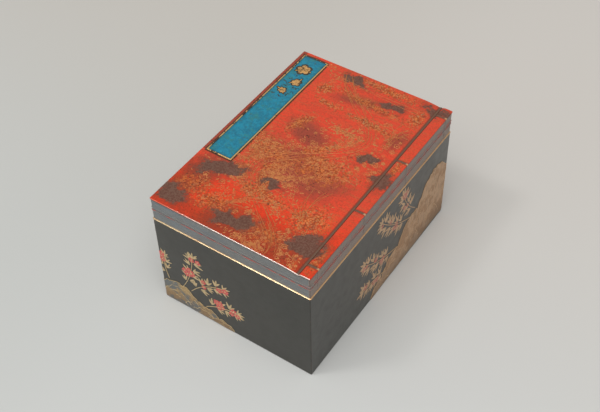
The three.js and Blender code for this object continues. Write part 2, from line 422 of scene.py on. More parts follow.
def gilding():
    """Rim gilding, brown where it is rubbed, duller and more copper-coloured on the right side as painted
    shade, and darker along the lower part of the rim there.
    """
    coat = Finish("gilding", colours().gilt)
    rubbed = coat.mottle((0.14, 4, 0.6), (0.5, 0.7), shade(190, 130, 80), 0.4)
    x, y, z = coat.axes()
    # Painted shade: the right side's gilding duller and more copper-coloured; its lower part is darker too
    right_side = coat.ramp(x, HALF_X / MM - 1.0, HALF_X / MM - 0.4)
    coat.lay(coat.times(right_side, 0.6), shade(234, 178, 124))
    below = coat.ramp(z, PARTING / MM - 0.12, PARTING / MM - 0.02, 0.75, 0)
    coat.lay(coat.times(right_side, below), shade(70, 56, 44))
    return coat.done({"Metallic": 0.7, "Roughness": coat.ramp(rubbed, 0, 1, 0.26, 0.34)})


def frame_gilding():
    """The slip's gold frame, flaked to a dark line most where it is painted as worn."""
    coat = Finish("frame_gilding", colours().frame_gold)
    wear = coat.times(coat.painted("wear"), 0.3)
    flaked = coat.ramp(coat.plus(coat.grain(0.3, 5, 0.74), wear), 0.66, 0.7)
    coat.lay(flaked, shade(74, 54, 40))
    metal = coat.minus(0.6, coat.times(flaked, 0.55))
    return coat.done({"Metallic": metal, "Roughness": 0.38}, flaked, strength=0.4, depth=0.0001)


def lay_ground(coat, fine, middling, shaded, y):
    """Darker patches, brushed streaks, a thin brown film and a browner front third over the cover's red."""
    patina = coat.plus(shaded, coat.times(coat.grain(0.06, 5, 0.62), 0.8))
    patina = coat.plus(patina, coat.times(coat.minus(middling, 0.5), 0.5))
    coat.lay(coat.ramp(patina, 0.3, 1.1), colours().deep_red)
    brushed = coat.minus(coat.grain(0.8, 4, 0.65, (0.06, 1.0, 1.0)), coat.times(shaded, 0.12))
    coat.lay(coat.ramp(brushed, 0.46, 0.68, 0, 0.55), shade(190, 96, 58))
    coat.lay(coat.ramp(fine, 0.46, 0.62, 0, 0.4), shade(140, 66, 44))
    coat.lay(coat.ramp(y, -46, -18, 1, 0), (1.1, 0.7, 0.42), "MULTIPLY")


def lay_mist(coat, fine, middling, shaded, uneven):
    """Sprinkled amber mist with red gaps and pale curls, a painted highlight on the slope beside the thread,
    and dark specks.
    """
    palette = colours()
    density = coat.plus(coat.painted("mist"), uneven)
    sprinkled = coat.plus(density, coat.times(coat.minus(fine, 0.5), 1.5))
    mist = coat.ramp(sprinkled, 0.3, 0.7)
    amber = coat.blend(coat.ramp(coat.grain(0.5, 4), 0.38, 0.66), palette.amber, palette.dull_amber)
    coat.lay(coat.times(mist, 0.8), amber)
    away = coat.cells(1.02)
    coat.lay(coat.times(coat.ramp(away, 0.48, 0.62), coat.times(mist, 0.6)), shade(128, 48, 30))
    curls = coat.times(coat.ramp(away, 0.18, 0.26), coat.ramp(away, 0.32, 0.42, 1, 0))
    curls = coat.times(curls, coat.ramp(fine, 0.36, 0.52, 0.3, 1.0))
    curls = coat.times(curls, coat.minus(1, coat.times(shaded, 0.9)))
    curl_tone = coat.blend(coat.ramp(middling, 0.42, 0.58), shade(212, 144, 90), shade(156, 134, 98))
    coat.lay(coat.times(curls, mist), curl_tone)
    # Painted highlight: an orange band on the slope down to the thread
    coat.lay(coat.times(coat.painted("slope_highlight"), 0.4), shade(228, 104, 50))
    specks = coat.ramp(coat.grain(1.3, 3, 0.6), 0.575, 0.64, 0, 0.85)
    sown = coat.plus(coat.times(coat.maths("MAXIMUM", mist, shaded), 0.8), 0.2)
    coat.lay(coat.times(specks, sown), shade(58, 38, 26))
    return mist


def lay_clouds(coat, uneven):
    """Dark clouds with ragged edges, and brown dusk round them."""
    palette = colours()
    ragged = coat.times(coat.minus(coat.grain(0.8, 5, 0.8), 0.5), 1.1)
    ragged = coat.plus(coat.painted("cloud"), ragged)
    cloud = coat.ramp(coat.plus(ragged, coat.times(uneven, 0.5)), 0.16, 0.36)
    dusk = coat.ramp(coat.plus(ragged, coat.times(uneven, 0.8)), -0.2, 0.3, 0, 0.6)
    coat.lay(coat.times(dusk, coat.painted("halo")), shade(128, 62, 44))
    grey = coat.blend(coat.ramp(coat.grain(1.3, 3, 0.7), 0.4, 0.6), palette.umber, palette.cloud_grey)
    coat.lay(coat.times(cloud, 0.88), grey)
    return cloud


def outside_box(coat, places, lowest, highest):
    """How far a place lies outside an upright rectangle on the cover, in millimetres."""
    reach = None
    for axis, place in enumerate(places):
        middle = (lowest[axis] + highest[axis]) / 2 / MM
        half = (highest[axis] - lowest[axis]) / 2 / MM
        away = coat.minus(coat.maths("ABSOLUTE", coat.minus(place, middle)), half)
        reach = coat.maths("MAXIMUM", reach, away) if reach else away
    return reach


def cover_lacquer():
    """The front cover's lacquer, with dark old lacquer and painted shade along the slip, painted shade along
    the thread and under the front edge, and a painted highlight on the front edge.
    """
    coat = Finish("cover_lacquer", colours().red)
    x, y, z = coat.axes()
    fine = coat.grain(1.15, 4, 0.72)
    middling = coat.grain(0.34, 5, 0.66)
    uneven = coat.times(coat.minus(middling, 0.5), 0.7)
    shaded = coat.painted("shade")
    lay_ground(coat, fine, middling, shaded, y)
    mist = lay_mist(coat, fine, middling, shaded, uneven)
    cloud = lay_clouds(coat, uneven)
    # Dark old lacquer along the slip, and painted shade beside the thread, beside the cross threads and on
    # the cover's upright edge
    coat.lay(coat.painted("dirt_and_shade"), shade(86, 56, 40))
    # Dark lacquer build-up and painted shade just outside the slip's frame
    off_slip = coat.plus(outside_box(coat, (x, y), SLIP_LOW, SLIP_HIGH), coat.times(middling, 0.5))
    coat.lay(coat.ramp(off_slip, 0.6, 1.25, 0.92, 0), shade(66, 46, 36))
    # Painted shade beside the thread, where its seat is shadowed
    thread = (THREAD_LEFT + THREAD_RIGHT) / 2 / MM
    off_thread = coat.maths("ABSOLUTE", coat.minus(x, thread - 0.25))
    coat.lay(coat.ramp(off_thread, 0.65, 1.2, 0.75, 0), shade(104, 62, 46))
    # Painted highlight: a pale, partly metallic band along the rounding of the cover's front edge, orange at
    # the left and whiter to the right
    edge_highlight = coat.times(coat.painted("edge"), coat.ramp(x, -41, -16, 0.6, 0.95))
    painted_highlight = coat.blend(coat.ramp(x, -36, -8), shade(250, 128, 96), shade(255, 236, 224))
    coat.lay(edge_highlight, painted_highlight)
    coat.polish(rough=0.4, coat=0.25, coat_rough=0.16)
    sockets = {
        "Metallic": coat.times(edge_highlight, 0.7),
        "Roughness": coat.ramp(coat.plus(mist, cloud), 0.0, 1.2, 0.36, 0.5),
        "Specular IOR Level": 0.26,
        "Coat Weight": coat.ramp(edge_highlight, 0, 1, 0.02, 1.0),
        "Coat IOR": 1.9,
    }
    bumps = coat.plus(coat.times(fine, mist), coat.times(middling, 0.3))
    return coat.done(sockets, bumps, strength=0.35, depth=0.00012)


def turquoise_glaze():
    """Turquoise with darker and greener mottling, fine pale flecks and dull bronze spots."""
    palette = colours()
    coat = Finish("turquoise_glaze", palette.turquoise)
    cloudy = coat.mottle((0.6, 5, 0.7), (0.34, 0.68), palette.deep_turquoise)
    coat.mottle((0.22, 5, 0.68), (0.5, 0.62), shade(50, 122, 118), 0.65)
    coat.mottle((1.3, 4, 0.65), (0.58, 0.68), shade(84, 160, 176), 0.5)
    spots = coat.mottle((0.5, 5, 0.75), (0.6, 0.66), shade(66, 84, 72), 0.8)
    coat.mottle((0.9, 5, 0.8), (0.64, 0.68), shade(48, 66, 66), 0.8)
    coat.lay(coat.painted("rim"), shade(26, 70, 78))
    coat.polish(rough=0.36, coat=0.2, coat_rough=0.12)
    return coat.done({"Specular IOR Level": 0.35}, coat.minus(cloudy, spots), strength=0.35, depth=0.00012)


def thread_brown():
    """Flat brown thread with slanting strands, grey where it is painted bare, and a painted highlight where
    a cross thread turns over the spine's edge.
    """
    palette = colours()
    coat = Finish("thread_brown", palette.thread)
    slant = (0, 0, math.radians(35))
    turned = coat.put("ShaderNodeMapping", {"Vector": coat.place, "Rotation": slant}).outputs[0]
    wave = {"Vector": turned, "Scale": 0.55, "Distortion": 1.2, "Detail": 2}
    strands = coat.put("ShaderNodeTexWave", wave).outputs["Fac"]
    coat.lay(strands, toned(palette.thread, 0.6))
    coat.mottle((0.5, 4, 0.65), (0.52, 0.7), shade(132, 88, 62), 0.5)
    coat.lay(coat.painted("bare"), palette.spine_pages)
    # Painted highlight: pale dots where the cross threads turn over the spine's edge
    coat.lay(coat.times(coat.painted("painted_highlight"), 0.6), shade(236, 180, 130))
    return coat.done({"Roughness": 0.5}, strands, strength=0.5, depth=0.0001)


def sprinkled_inside():
    """Dark lacquer sprinkled with fine gold flakes, and plain under the bottom board."""
    palette = colours()
    coat = Finish("sprinkled_inside", palette.inside)
    density = coat.ramp(coat.grain(0.05, 3), 0.3, 0.7, 0.16, 0.34)
    flakes = coat.ramp(coat.minus(density, coat.cells(1.5)), -0.02, 0.05)
    flakes = coat.times(flakes, coat.ramp(coat.axes()[Z], 0.4, 0.6))
    coat.lay(flakes, palette.inside_gold)
    coat.polish(rough=0.34, coat=0.4, coat_rough=0.1)
    return coat.done({"Metallic": coat.times(flakes, 0.8)}, flakes, strength=0.2, depth=0.00005)


def raised_gold(name, main, rough=0.4, metal=0.75, under=None, rub=0.7):
    """Raised gold powder, with the ground or brown showing where it is rubbed."""
    coat = Finish(name, main)
    coat.mottle((0.7, 5, 0.72), (0.46, 0.64), under or toned(main, 0.5), rub)
    sockets = {"Metallic": metal, "Roughness": rough}
    return coat.done(sockets, coat.grain(2.4, 3), strength=0.35, depth=0.00006)


def blossom_red(name, main, worn_tone):
    """Red lacquer petals, paler towards worn high spots."""
    coat = Finish(name, main)
    worn = coat.mottle((1.0, 4, 0.7), (0.44, 0.7), worn_tone, 0.8)
    coat.mottle((1.8, 3), (0.6, 0.72), shade(120, 40, 42), 0.55)
    coat.polish(rough=0.4, coat=0.2, coat_rough=0.2)
    return coat.done({}, worn, strength=0.35, depth=0.00008)


def bank_gold(name, main, dark, upright, greyness):
    """Sprinkled gold ground of a bank, streaked along its fall, with darker patches."""
    coat = Finish(name, main)
    patches = coat.mottle((0.13, 5, 0.66), (0.46, 0.56), dark)
    streaks = coat.grain(0.8, 4, 0.6, (1.0, 1.0, upright))
    coat.lay(coat.ramp(streaks, 0.42, 0.66, 0, 0.55), toned(main, 0.55))
    coat.mottle((3.0, 2), (0.6, 0.7), toned(main, 1.7), 0.5)
    coat.lay(coat.ramp(coat.axes()[Z], 0, 15, 0.75, 0), shade(128, 100, 76))
    coat.lay(coat.times(patches, greyness), dark)
    sockets = {"Metallic": 0.35, "Roughness": coat.ramp(patches, 0, 1, 0.42, 0.55)}
    return coat.done(sockets, coat.plus(streaks, patches), strength=0.4, depth=0.00012)


# Mesh building


def compass(angle):
    """The flat direction at an angle from X."""
    return np.array([math.cos(angle), math.sin(angle)])


def unit(value):
    """Value kept from 0 to 1."""
    return min(1.0, max(0.0, value))


def stand(name, data):
    """A new object in the scene."""
    piece = bpy.data.objects.new(name, data)
    bpy.context.scene.collection.objects.link(piece)
    return piece


def new_mesh(name, points, faces, edges=()):
    """A mesh of points, faces and loose edges."""
    mesh = bpy.data.meshes.new(name)
    corners = [list(map(int, face)) for face in faces]
    mesh.from_pydata([tuple(map(float, point)) for point in points], edges, corners)
    return mesh


def smooth(mesh, sharp):
    """Shades a mesh smooth, with sharp edges kept where faces meet at more than sharp degrees."""
    mesh.polygons.foreach_set("use_smooth", [True] * len(mesh.polygons))
    mesh.set_sharp_from_angle(angle=math.radians(sharp))


def new_piece(name, points, faces, material, sharp=35):
    """A smooth-shaded piece with a finish."""
    mesh = new_mesh(name, points, faces)
    smooth(mesh, sharp)
    mesh.materials.append(material)
    return stand(name, mesh)


def paint(mesh, name, values):
    """Keeps one value for each point of a mesh."""
    attribute = mesh.attributes.new(name, "FLOAT", "POINT")
    attribute.data.foreach_set("value", np.asarray(values, np.float32))


def settle(piece, body, slot, *nodes):
    """Seats a finished piece on its body and hides the imported pieces that it stands for."""
    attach(piece, body)
    if nodes:
        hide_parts(*nodes)
    return piece


def dress(nodes, material):
    """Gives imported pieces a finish."""
    for node in nodes:
        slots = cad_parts[node].data.materials
        slots.clear()
        slots.append(material)


CORNERS = ((1, -1), (1, 1), (-1, 1), (-1, -1))
BACK_RIGHT, FRONT_LEFT = 1, 3
CORNER_STEPS = 8


def outline(outset, breaks=()):
    """Plan points round the box, anticlockwise from the front right corner, moved out by outset."""
    radius = max(form().corner + outset, form().inner_corner)
    points = []
    for number, (side_x, side_y) in enumerate(CORNERS):
        for step in range(CORNER_STEPS + 1):
            angle = (number - 1 + step / CORNER_STEPS) * math.pi / 2
            x = side_x * (HALF_X + outset - radius) + radius * math.cos(angle)
            y = side_y * (HALF_Y + outset - radius) + radius * math.sin(angle)
            points.append((x, y))
        if number == BACK_RIGHT:
            points += [(x, HALF_Y + outset) for x in reversed(breaks)]
        if number == FRONT_LEFT:
            points += [(x, -HALF_Y - outset) for x in breaks]
    return np.array(points)


def corner_turn():
    """How far each outline point lies into a round corner, from 0 to 1."""
    return [math.sin(math.pi * step / CORNER_STEPS) ** 2 for step in range(CORNER_STEPS + 1)] * len(CORNERS)


def soften(corners, steps=3):
    """A closed outline from (a, b, radius) corners, each rounded by its radius."""
    points = []
    for number, (a, b, radius) in enumerate(corners):
        corner = Vector((a, b))
        if radius == 0:
            points.append(tuple(corner))
            continue
        before = Vector(corners[number - 1][:2]) - corner
        after = Vector(corners[(number + 1) % len(corners)][:2]) - corner
        start = corner + before.normalized() * radius
        end = corner + after.normalized() * radius
        for step in range(steps + 1):
            t = step / steps
            points.append(tuple(start * (1 - t) ** 2 + corner * 2 * t * (1 - t) + end * t * t))
    return points


def hoop_faces(rings, around):
    """Faces of a closed hoop of rings, each with so many points around it."""
    faces = []
    for ring in range(rings):
        start, end = ring * around, (ring + 1) % rings * around
        for k in range(around):
            after = (k + 1) % around
            faces.append((start + k, start + after, end + after, end + k))
    return faces


def rod_faces(rings, around):
    """Faces of a rod of rings, which turn the other way, with both ends closed."""
    sides = [(a, d, c, b) for a, b, c, d in hoop_faces(rings, around)[: (rings - 1) * around]]
    last = range((rings - 1) * around, rings * around)
    return [*sides, tuple(range(around)), tuple(reversed(last))]


def ring_piece(name, profile, material, breaks=(), sink=None, sharp=35):
    """A ring with an anticlockwise (outset, z) profile round the box. sink(x, z) lowers its points."""
    rows = []
    for outset, z in profile:
        plan = outline(outset, breaks)
        heights = [z - (sink(x, z) if sink else 0) for x in plan[:, 0]]
        rows.append(np.column_stack([plan, heights]))
    return new_piece(name, np.concatenate(rows), hoop_faces(len(rows), len(rows[0])), material, sharp)


def rounded_bar(inner, outer, bottom, top, radii):
    """A four-sided profile with a radius for each corner, anticlockwise from the inner bottom one."""
    corners = ((inner, bottom), (outer, bottom), (outer, top), (inner, top))
    return soften([(a, b, radius) for (a, b), radius in zip(corners, radii)])


def slab_faces(columns, rows, loops):
    """Faces of a closed slab: a top grid, loops below its border, and strips across the last loop."""
    at = lambda column, row: column * rows + row
    faces = []
    for i in range(columns - 1):
        faces += [(at(i, j), at(i + 1, j), at(i + 1, j + 1), at(i, j + 1)) for j in range(rows - 1)]
    border = slab_border(columns, rows)
    count = len(border)
    upper = [at(i, j) for i, j in border]
    for loop in range(loops):
        lower = [columns * rows + loop * count + k for k in range(count)]
        for k in range(count):
            after = (k + 1) % count
            faces.append((lower[k], lower[after], upper[after], upper[k]))
        upper = lower
    front = upper[:columns]
    right = upper[columns - 1 : columns + rows - 1]
    back = upper[columns + rows - 2 : 2 * columns + rows - 2][::-1]
    left = upper[2 * columns + rows - 3 :] + upper[:1]
    faces.append((front[0], *left[1:-1][::-1], back[0], back[1], front[1]))
    faces += [(front[i], back[i], back[i + 1], front[i + 1]) for i in range(1, columns - 2)]
    faces.append((front[-2], back[-2], back[-1], *right[1:-1][::-1], front[-1]))
    return faces


def slab_border(columns, rows):
    """The grid places round the border, anticlockwise from the front left."""
    front = [(i, 0) for i in range(columns)]
    right = [(columns - 1, j) for j in range(1, rows)]
    back = [(i, rows - 1) for i in range(columns - 2, -1, -1)]
    left = [(0, j) for j in range(rows - 2, 0, -1)]
    return front + right + back + left


def stations(lowest, highest, soft, corner, spacing, extra=()):
    """Places from lowest to highest, close together near both ends, with extra ones let in."""
    ease = [soft * (1 - math.cos(k * math.pi / 8)) for k in range(5)]
    ends = ease + ([corner] if corner > soft * 1.2 else [])
    count = max(2, round((highest - lowest - 2 * ends[-1]) / spacing))
    first, last = lowest + ends[-1], highest - ends[-1]
    inner = np.linspace(first, last, count + 1)
    kept = sorted([lowest + e for e in ends[:-1]] + list(inner) + [highest - e for e in ends[:-1]])
    for place in sorted(extra):
        clash = [k for k in kept if abs(k - place) < spacing * 0.18 and first < k < last]
        kept = sorted([k for k in kept if k not in clash] + [place])
    return np.array(kept)


def plate_piece(name, edges, heights, material, thickness, corner, soft, spacing, extra=()):
    """A plate with rounded corners and a soft top edge.

    edges is its left, right, front and back, heights(x, y) its top, and extra more places across it.
    """
    left, right, front, back = edges
    xs = stations(left, right, soft, corner, spacing, extra)
    ys = stations(front, back, soft, corner, spacing)
    middle = np.array([(left + right) / 2, (front + back) / 2])
    reach = np.array([(right - left) / 2, (back - front) / 2])
    gx, gy = np.meshgrid(xs - middle[0], ys - middle[1], indexing="ij")
    over_x = np.maximum(np.abs(gx) - (reach[0] - corner), 0)
    over_y = np.maximum(np.abs(gy) - (reach[1] - corner), 0)
    inward = np.minimum(reach[0] - np.abs(gx), reach[1] - np.abs(gy))
    both = (over_x > 0) & (over_y > 0)
    largest = np.maximum(over_x, over_y)
    share = np.where(both, largest / np.maximum(np.hypot(over_x, over_y), TINY), 1.0)
    px = np.where(both, np.sign(gx) * (reach[0] - corner + over_x * share), gx) + middle[0]
    py = np.where(both, np.sign(gy) * (reach[1] - corner + over_y * share), gy) + middle[1]
    bend = np.clip(soft - np.where(both, corner - largest, inward), 0, soft)
    tops = np.array([[heights(x, y) for x, y in zip(row_x, row_y)] for row_x, row_y in zip(px, py)])
    pz = tops - (soft - np.sqrt(np.maximum(soft**2 - bend**2, 0)))
    grid = np.stack([px, py, pz], axis=-1)
    border = slab_border(len(xs), len(ys))
    rim = np.array([grid[i, j, :2] for i, j in border])
    base = np.array([tops[i, j] - thickness for i, j in border])
    under_soft = soft * 0.6
    outward = rim - np.clip(rim, (left + corner, front + corner), (right - corner, back - corner))
    outward /= np.maximum(np.linalg.norm(outward, axis=1, keepdims=True), TINY)
    lower = np.column_stack([rim, base + under_soft])
    tucked = np.column_stack([rim - outward * under_soft, base])
    points = np.concatenate([grid.reshape(-1, 3), lower, tucked])
    return new_piece(name, points, slab_faces(len(xs), len(ys), 2), material)


def dip(x):
    """How far the cover sinks at x: a long slope to the thread's seat, then a pillow-like rise."""
    seat_left = THREAD_LEFT - form().seat_gap
    seat_right = THREAD_RIGHT + form().seat_gap
    if x <= seat_left:
        share = max(0.0, 1 - (seat_left - x) / form().slope)
        return PRESS_DEPTH * share * share
    if x <= seat_right:
        return PRESS_DEPTH
    across = min(1.0, (x - seat_right) / form().pillow)
    return PRESS_DEPTH * (1 - math.sqrt(1 - (1 - across) ** 2))


def pillow_places():
    """Places across the rise beside the thread, close together where it is steep."""
    seat_right = THREAD_RIGHT + form().seat_gap
    return [seat_right + form().pillow * (1 - math.cos(k * math.pi / 16)) for k in range(9)]


def slope_places(count=12):
    """Places across the slope down to the thread."""
    seat_left = THREAD_LEFT - form().seat_gap
    return [seat_left - form().slope * k / count for k in range(count + 1)]


# The box


def build_walls(material):
    """The seamless lacquered wall round the box, with a rounded foot that shows wear, and painted shade
    under the rim, along the foot and at the upright corners.
    """
    size = form()
    top = PARTING - size.gilt_rim
    below_rim = [(0, top - 0.6 * MM, 0), (0, top - 0.4 * MM, 0)]
    above_foot = (0, size.foot * 1.6, 0)
    corners = [(-WALL, 0, 0), (0, 0, size.foot), above_foot, *below_rim, (0, top, 0), (-WALL, top, 0)]
    profile = soften(corners, steps=6)
    piece = ring_piece("box_walls", profile, material)
    around = corner_turn()
    wear, shadow = [], []
    for place in profile:
        foot = max(0.0, 1 - place[1] / size.foot)
        # Painted shade: a dark line under the gilt rim, darkening along the foot and dark lines at the
        # upright corners
        shade_under_rim = 1.0 if place[1] > top - 0.5 * MM else 0.0
        wear += [0.3 * value * (1 + foot) for value in around]
        shadow += [max(foot * 0.9, shade_under_rim, 0.55 * value) for value in around]
    paint(piece.data, "wear", wear)
    paint(piece.data, "shadow", shadow)
    return settle(piece, "box", "black_lacquer", *all_sides("box_wall"))


def build_rims(material):
    """The gilt rims on both sides of the parting line."""
    size = form()
    edge = size.lid_rim_edge * 0.5
    below = rounded_bar(-WALL, RIM_OUT, PARTING - size.gilt_rim, PARTING, (0, edge, edge, 0))
    settle(ring_piece("mouth_rim", below, material), "box", "gilt_metal", *all_sides("box_rim"))
    top = PARTING + size.lid_rim
    above = soften(
        [
            (LID_INNER, PARTING, 0),
            (RIM_OUT, PARTING, edge),
            (RIM_OUT, PARTING + size.lid_rim_edge, edge),
            (-PAGE_INSET, top, 0),
            (LID_INNER, top, 0),
        ]
    )
    settle(ring_piece("lid_mouth_rim", above, material), "lid", "gilt_metal", *all_sides("lid_rim"))


def build_lip(material):
    """The inner lip, with a softly rounded top."""
    edge = form().edge * 3
    profile = rounded_bar(LIP_INNER, LIP_OUTER, FLOOR_TOP, LIP_TOP, (0, 0, edge, edge))
    return settle(ring_piece("inner_lip", profile, material), "box", "interior_lacquer", *all_sides("lip"))


# The lid


def leaf_sink(x, z):
    """How far a page edge at height z is pressed down at x: most at the cover, least at the back."""
    meeting = MIDDLE - form().lower_cover
    if z > meeting:
        share = (z - meeting) / (PAGE_TOP - meeting)
        return dip(x) * share * share
    share = max(0.0, (z - LID_BOTTOM) / (meeting - LID_BOTTOM))
    return gape(x) * share**3


def gape(x):
    """The gap that opens between the two books beside the lower book's thread."""
    if x <= THREAD_LEFT:
        share = max(0.0, 1 - (THREAD_LEFT - x) / form().gape_reach)
        return form().gape * share * share
    across = unit((x - THREAD_RIGHT) / (form().pillow * 0.6))
    return form().gape * (1 - math.sqrt(1 - (1 - across) ** 2))


def leaf_rows(bottom, top):
    """Page edges between two heights, as (outset, z) from the bottom up."""
    count = max(1, round((top - bottom) / form().leaf_pitch))
    pitch = (top - bottom) / count
    chance = random.Random(7)
    rows = []
    for number in range(count):
        start = bottom + number * pitch
        out = -PAGE_INSET + chance.uniform(-0.03, 0.03) * MM
        valley = out - form().leaf_relief
        rows += [(valley, start + pitch * 0.02), (out, start + pitch * 0.24), (out, start + pitch * 0.78)]
    rows.append((-PAGE_INSET - form().leaf_relief, top))
    return rows


def build_pages(material):
    """The page edges of both books in one block, with a deep dark line where they meet, and painted shade
    under the cover's edge and at the upright corners.
    """
    size = form()
    seam = 0.12 * MM
    hollow = -PAGE_INSET - 1.1 * MM
    meeting = MIDDLE - size.lower_cover
    foot = PARTING + size.lid_rim
    lower = leaf_rows(foot, meeting - size.inner_leaf)
    upper = leaf_rows(meeting + seam, PAGE_TOP)
    joint = [(hollow, meeting - size.inner_leaf * 0.9), (hollow, meeting + seam * 0.9)]
    profile = [(LID_INNER, foot), *lower, *joint, *upper, (LID_INNER, PAGE_TOP)]
    piece = ring_piece("page_edges", profile, material, cross_places(9), leaf_sink, sharp=60)
    # Painted shade at the upright corners
    around = [0.6 * turn for turn in corner_turn()]
    breaks = [0.0] * ((len(piece.data.vertices) // len(profile) - len(around)) // 2)
    cuts = [(number + 1) * (CORNER_STEPS + 1) for number in (BACK_RIGHT, FRONT_LEFT)]
    turns = around[: cuts[0]] + breaks + around[cuts[0] : cuts[1]] + breaks
    # Painted values: the dark seam between the books, and painted shade along the top under the cover's edge
    # and at the corners
    depth = []
    for outset, z in profile:
        level = 1.0 if outset == hollow or z > PAGE_TOP - 0.5 * MM else 0.0
        depth += [max(level, turn) for turn in turns]
    paint(piece.data, "hollow", depth)
    return settle(piece, "lid", "page_edges", *all_sides("lid_wall"))


def cross_places(count):
    """Places across the dip, from the start of the slope to the end of the rise."""
    return sorted(set(slope_places(count) + [THREAD_LEFT, THREAD_RIGHT] + pillow_places()[:8]))


def build_inner_covers(material):
    """The lower book's front cover and the upper book's back cover, red edges between the pages."""
    size = form()
    leaf = size.inner_leaf
    edge = leaf * 0.3
    back = -PAGE_INSET - size.leaf_relief * 2
    spine = HALF_X - size.corner * 1.2
    lower = MIDDLE - size.lower_cover - leaf
    upper = MIDDLE + size.upper_cover
    for name, bottom, grey in (("lower_book_cover", lower, 0.0), ("upper_back_cover", upper, 1.0)):
        profile = rounded_bar(back, 0, bottom, bottom + leaf, (0, edge, edge, 0))
        piece = ring_piece(name, profile, material, cross_places(12), leaf_sink)
        bare = [0.0 if vertex.co.x > spine else grey for vertex in piece.data.vertices]
        paint(piece.data, "bare", bare)
        settle(piece, "lid", "red_lacquer")


def build_lid_board(material):
    """The board under the cover, seen from inside as the lid's ceiling."""
    gap = 0.06 * MM
    half_x = HALF_X + LID_INNER - gap
    half_y = HALF_Y + LID_INNER - gap
    edges = (-half_x, half_x, -half_y, half_y)
    top = PAGE_TOP - PRESS_DEPTH - gap
    sizes = dict(thickness=top - LID_WALL_TOP, corner=0.4 * MM, soft=0.1 * MM, spacing=12 * MM)
    piece = plate_piece("lid_board", edges, lambda x, y: top, material, **sizes)
    return settle(piece, "lid", "interior_lacquer", "lid_top_board")


# Painted areas of the cover: middle, half length and half width in millimetres, and turn in degrees
MISTS = (
    ((-31, -43, 13, 9), 20),
    ((-17, -47, 15, 8), 12),
    ((10, -50, 22, 7), 0),
    ((24, -34, 13, 14), 0),
    ((0, -32, 20, 6), -8),
    ((-14, -8, 22, 13), -12),
    ((12, -6, 22, 13), 12),
    ((8, 56, 28, 4.5), -2),
    ((30, 46, 6, 10), 0),
    ((-17, 42, 7, 6), 20),
    ((6, 43, 28, 4.2), -6),
    ((15, 31, 20, 3.6), -5),
    ((-14, 15, 13, 5), 66),
    ((-10, 33, 11, 3), -10),
    ((38.5, -50, 3, 12), 0),
    ((38.5, 12, 3, 10), 0),
)
CLOUDS = (
    ((-27, -29, 11, 4.5), 24),
    ((-36, -52, 7, 4.5), -8),
    ((-4, -51, 10, 4), 10),
    ((30, -46, 8, 6), 40),
    ((37, 3, 4, 5), 0),
    ((25, 11, 5, 2), 20),
    ((-2, -24, 5, 2.2), 10),
    ((-8, 54, 7, 2.4), -12),
    ((16, 47, 6, 2.2), 14),
    ((36, 56, 7, 3), 0),
)
WIDE_CLOUDS = [((x, y, half_long + 3, half_wide + 3), turn) for (x, y, half_long, half_wide), turn in CLOUDS]
SHADES = (
    ((-34, -40, 20, 9), 80),
    ((8, -57, 44, 13), 4),
    ((-6, 10, 14, 7), -20),
    ((14, -14, 16, 8), 20),
    ((30, 28, 8, 4), 80),
    ((0, 42, 12, 4), 10),
    ((2, -10, 24, 13), -15),
)


def patchwork(x, y, patches):
    """How deep (x, y), in metres, lies in the nearest soft oval patch: 1 at its middle, 0 outside all."""
    deepest = 0.0
    for (centre_x, centre_y, half_long, half_wide), turn in patches:
        angle = math.radians(turn)
        across = x / MM - centre_x
        along = y / MM - centre_y
        u = (across * math.cos(angle) + along * math.sin(angle)) / half_long
        v = (-across * math.sin(angle) + along * math.cos(angle)) / half_wide
        deepest = max(deepest, 1 - (u * u + v * v) ** 0.5 / 1.35)
    return max(0.0, deepest)


STREAM_TOP, STREAM_FALL = 57, 115


def lobed(x, y, reach=3.2, scale=5.0):
    """(x, y) shifted by a smooth noise, so that painted patches get lobed outlines."""
    place = Vector((x, y, 0)) / (scale * MM)
    shift_x = noise.fractal(place, 0.7, 2.3, 3)
    shift_y = noise.fractal(place + Vector((7.3, 1.9, 4.1)), 0.7, 2.3, 3)
    return x + reach * shift_x * MM, y + reach * shift_y * MM


def stream_wave(share):
    """Which way the winding stream leans at a share of its fall, from -1 to 1."""
    return math.sin(9.2 * share + 4.9)


def stream_x(share):
    """Where the stream runs across the cover, in millimetres, at a share of its fall."""
    return 3 + 16.5 * stream_wave(share)


def stream_bank(x, y):
    """How closely (x, y), in metres, lies beside the stream: 1 on its banks, 0 far away."""
    share = (STREAM_TOP - y / MM) / STREAM_FALL
    away = abs(x / MM - stream_x(share))
    drift = 1 + 0.9 * noise.noise(Vector((x, y, 0)) / (11 * MM))
    return max(0.0, 1 - abs(away - 5) / 10) * drift


def thinning(y):
    """How much of the decoration is left towards the cover's head: 1 at the front, less at the head."""
    return 0.25 + 0.75 * unit((28 - y / MM) / 30)


def dirt_and_shade_along_slip_and_thread(x, y):
    """Dark old lacquer along the slip, deepened by painted shade, and painted shade beside the thread and
    the threads that cross it.
    """
    away = math.hypot(max(SLIP_LOW.x - x, 0, x - SLIP_HIGH.x), max(SLIP_LOW.y - y, 0, y - SLIP_HIGH.y))
    reach = (0.8 + 0.9 * noise.noise(Vector((x, y, 0)) / (9 * MM))) * MM
    beside_slip = max(0.0, 1 - away / max(reach, 0.3 * MM))
    # Painted shade beside the thread and beside the threads that cross the spine strip
    beside_thread = max(0.0, 1 - abs(x - (THREAD_LEFT + THREAD_RIGHT) / 2) / (0.8 * MM))
    nearest = min(abs(y - station) for station in STATION_YS)
    beside_crossing = max(0.0, 1 - nearest / (1.3 * MM)) if x > THREAD_LEFT else 0.0
    return min(1.0, 0.95 * beside_slip + max(0.6 * beside_thread, 0.95 * beside_crossing))


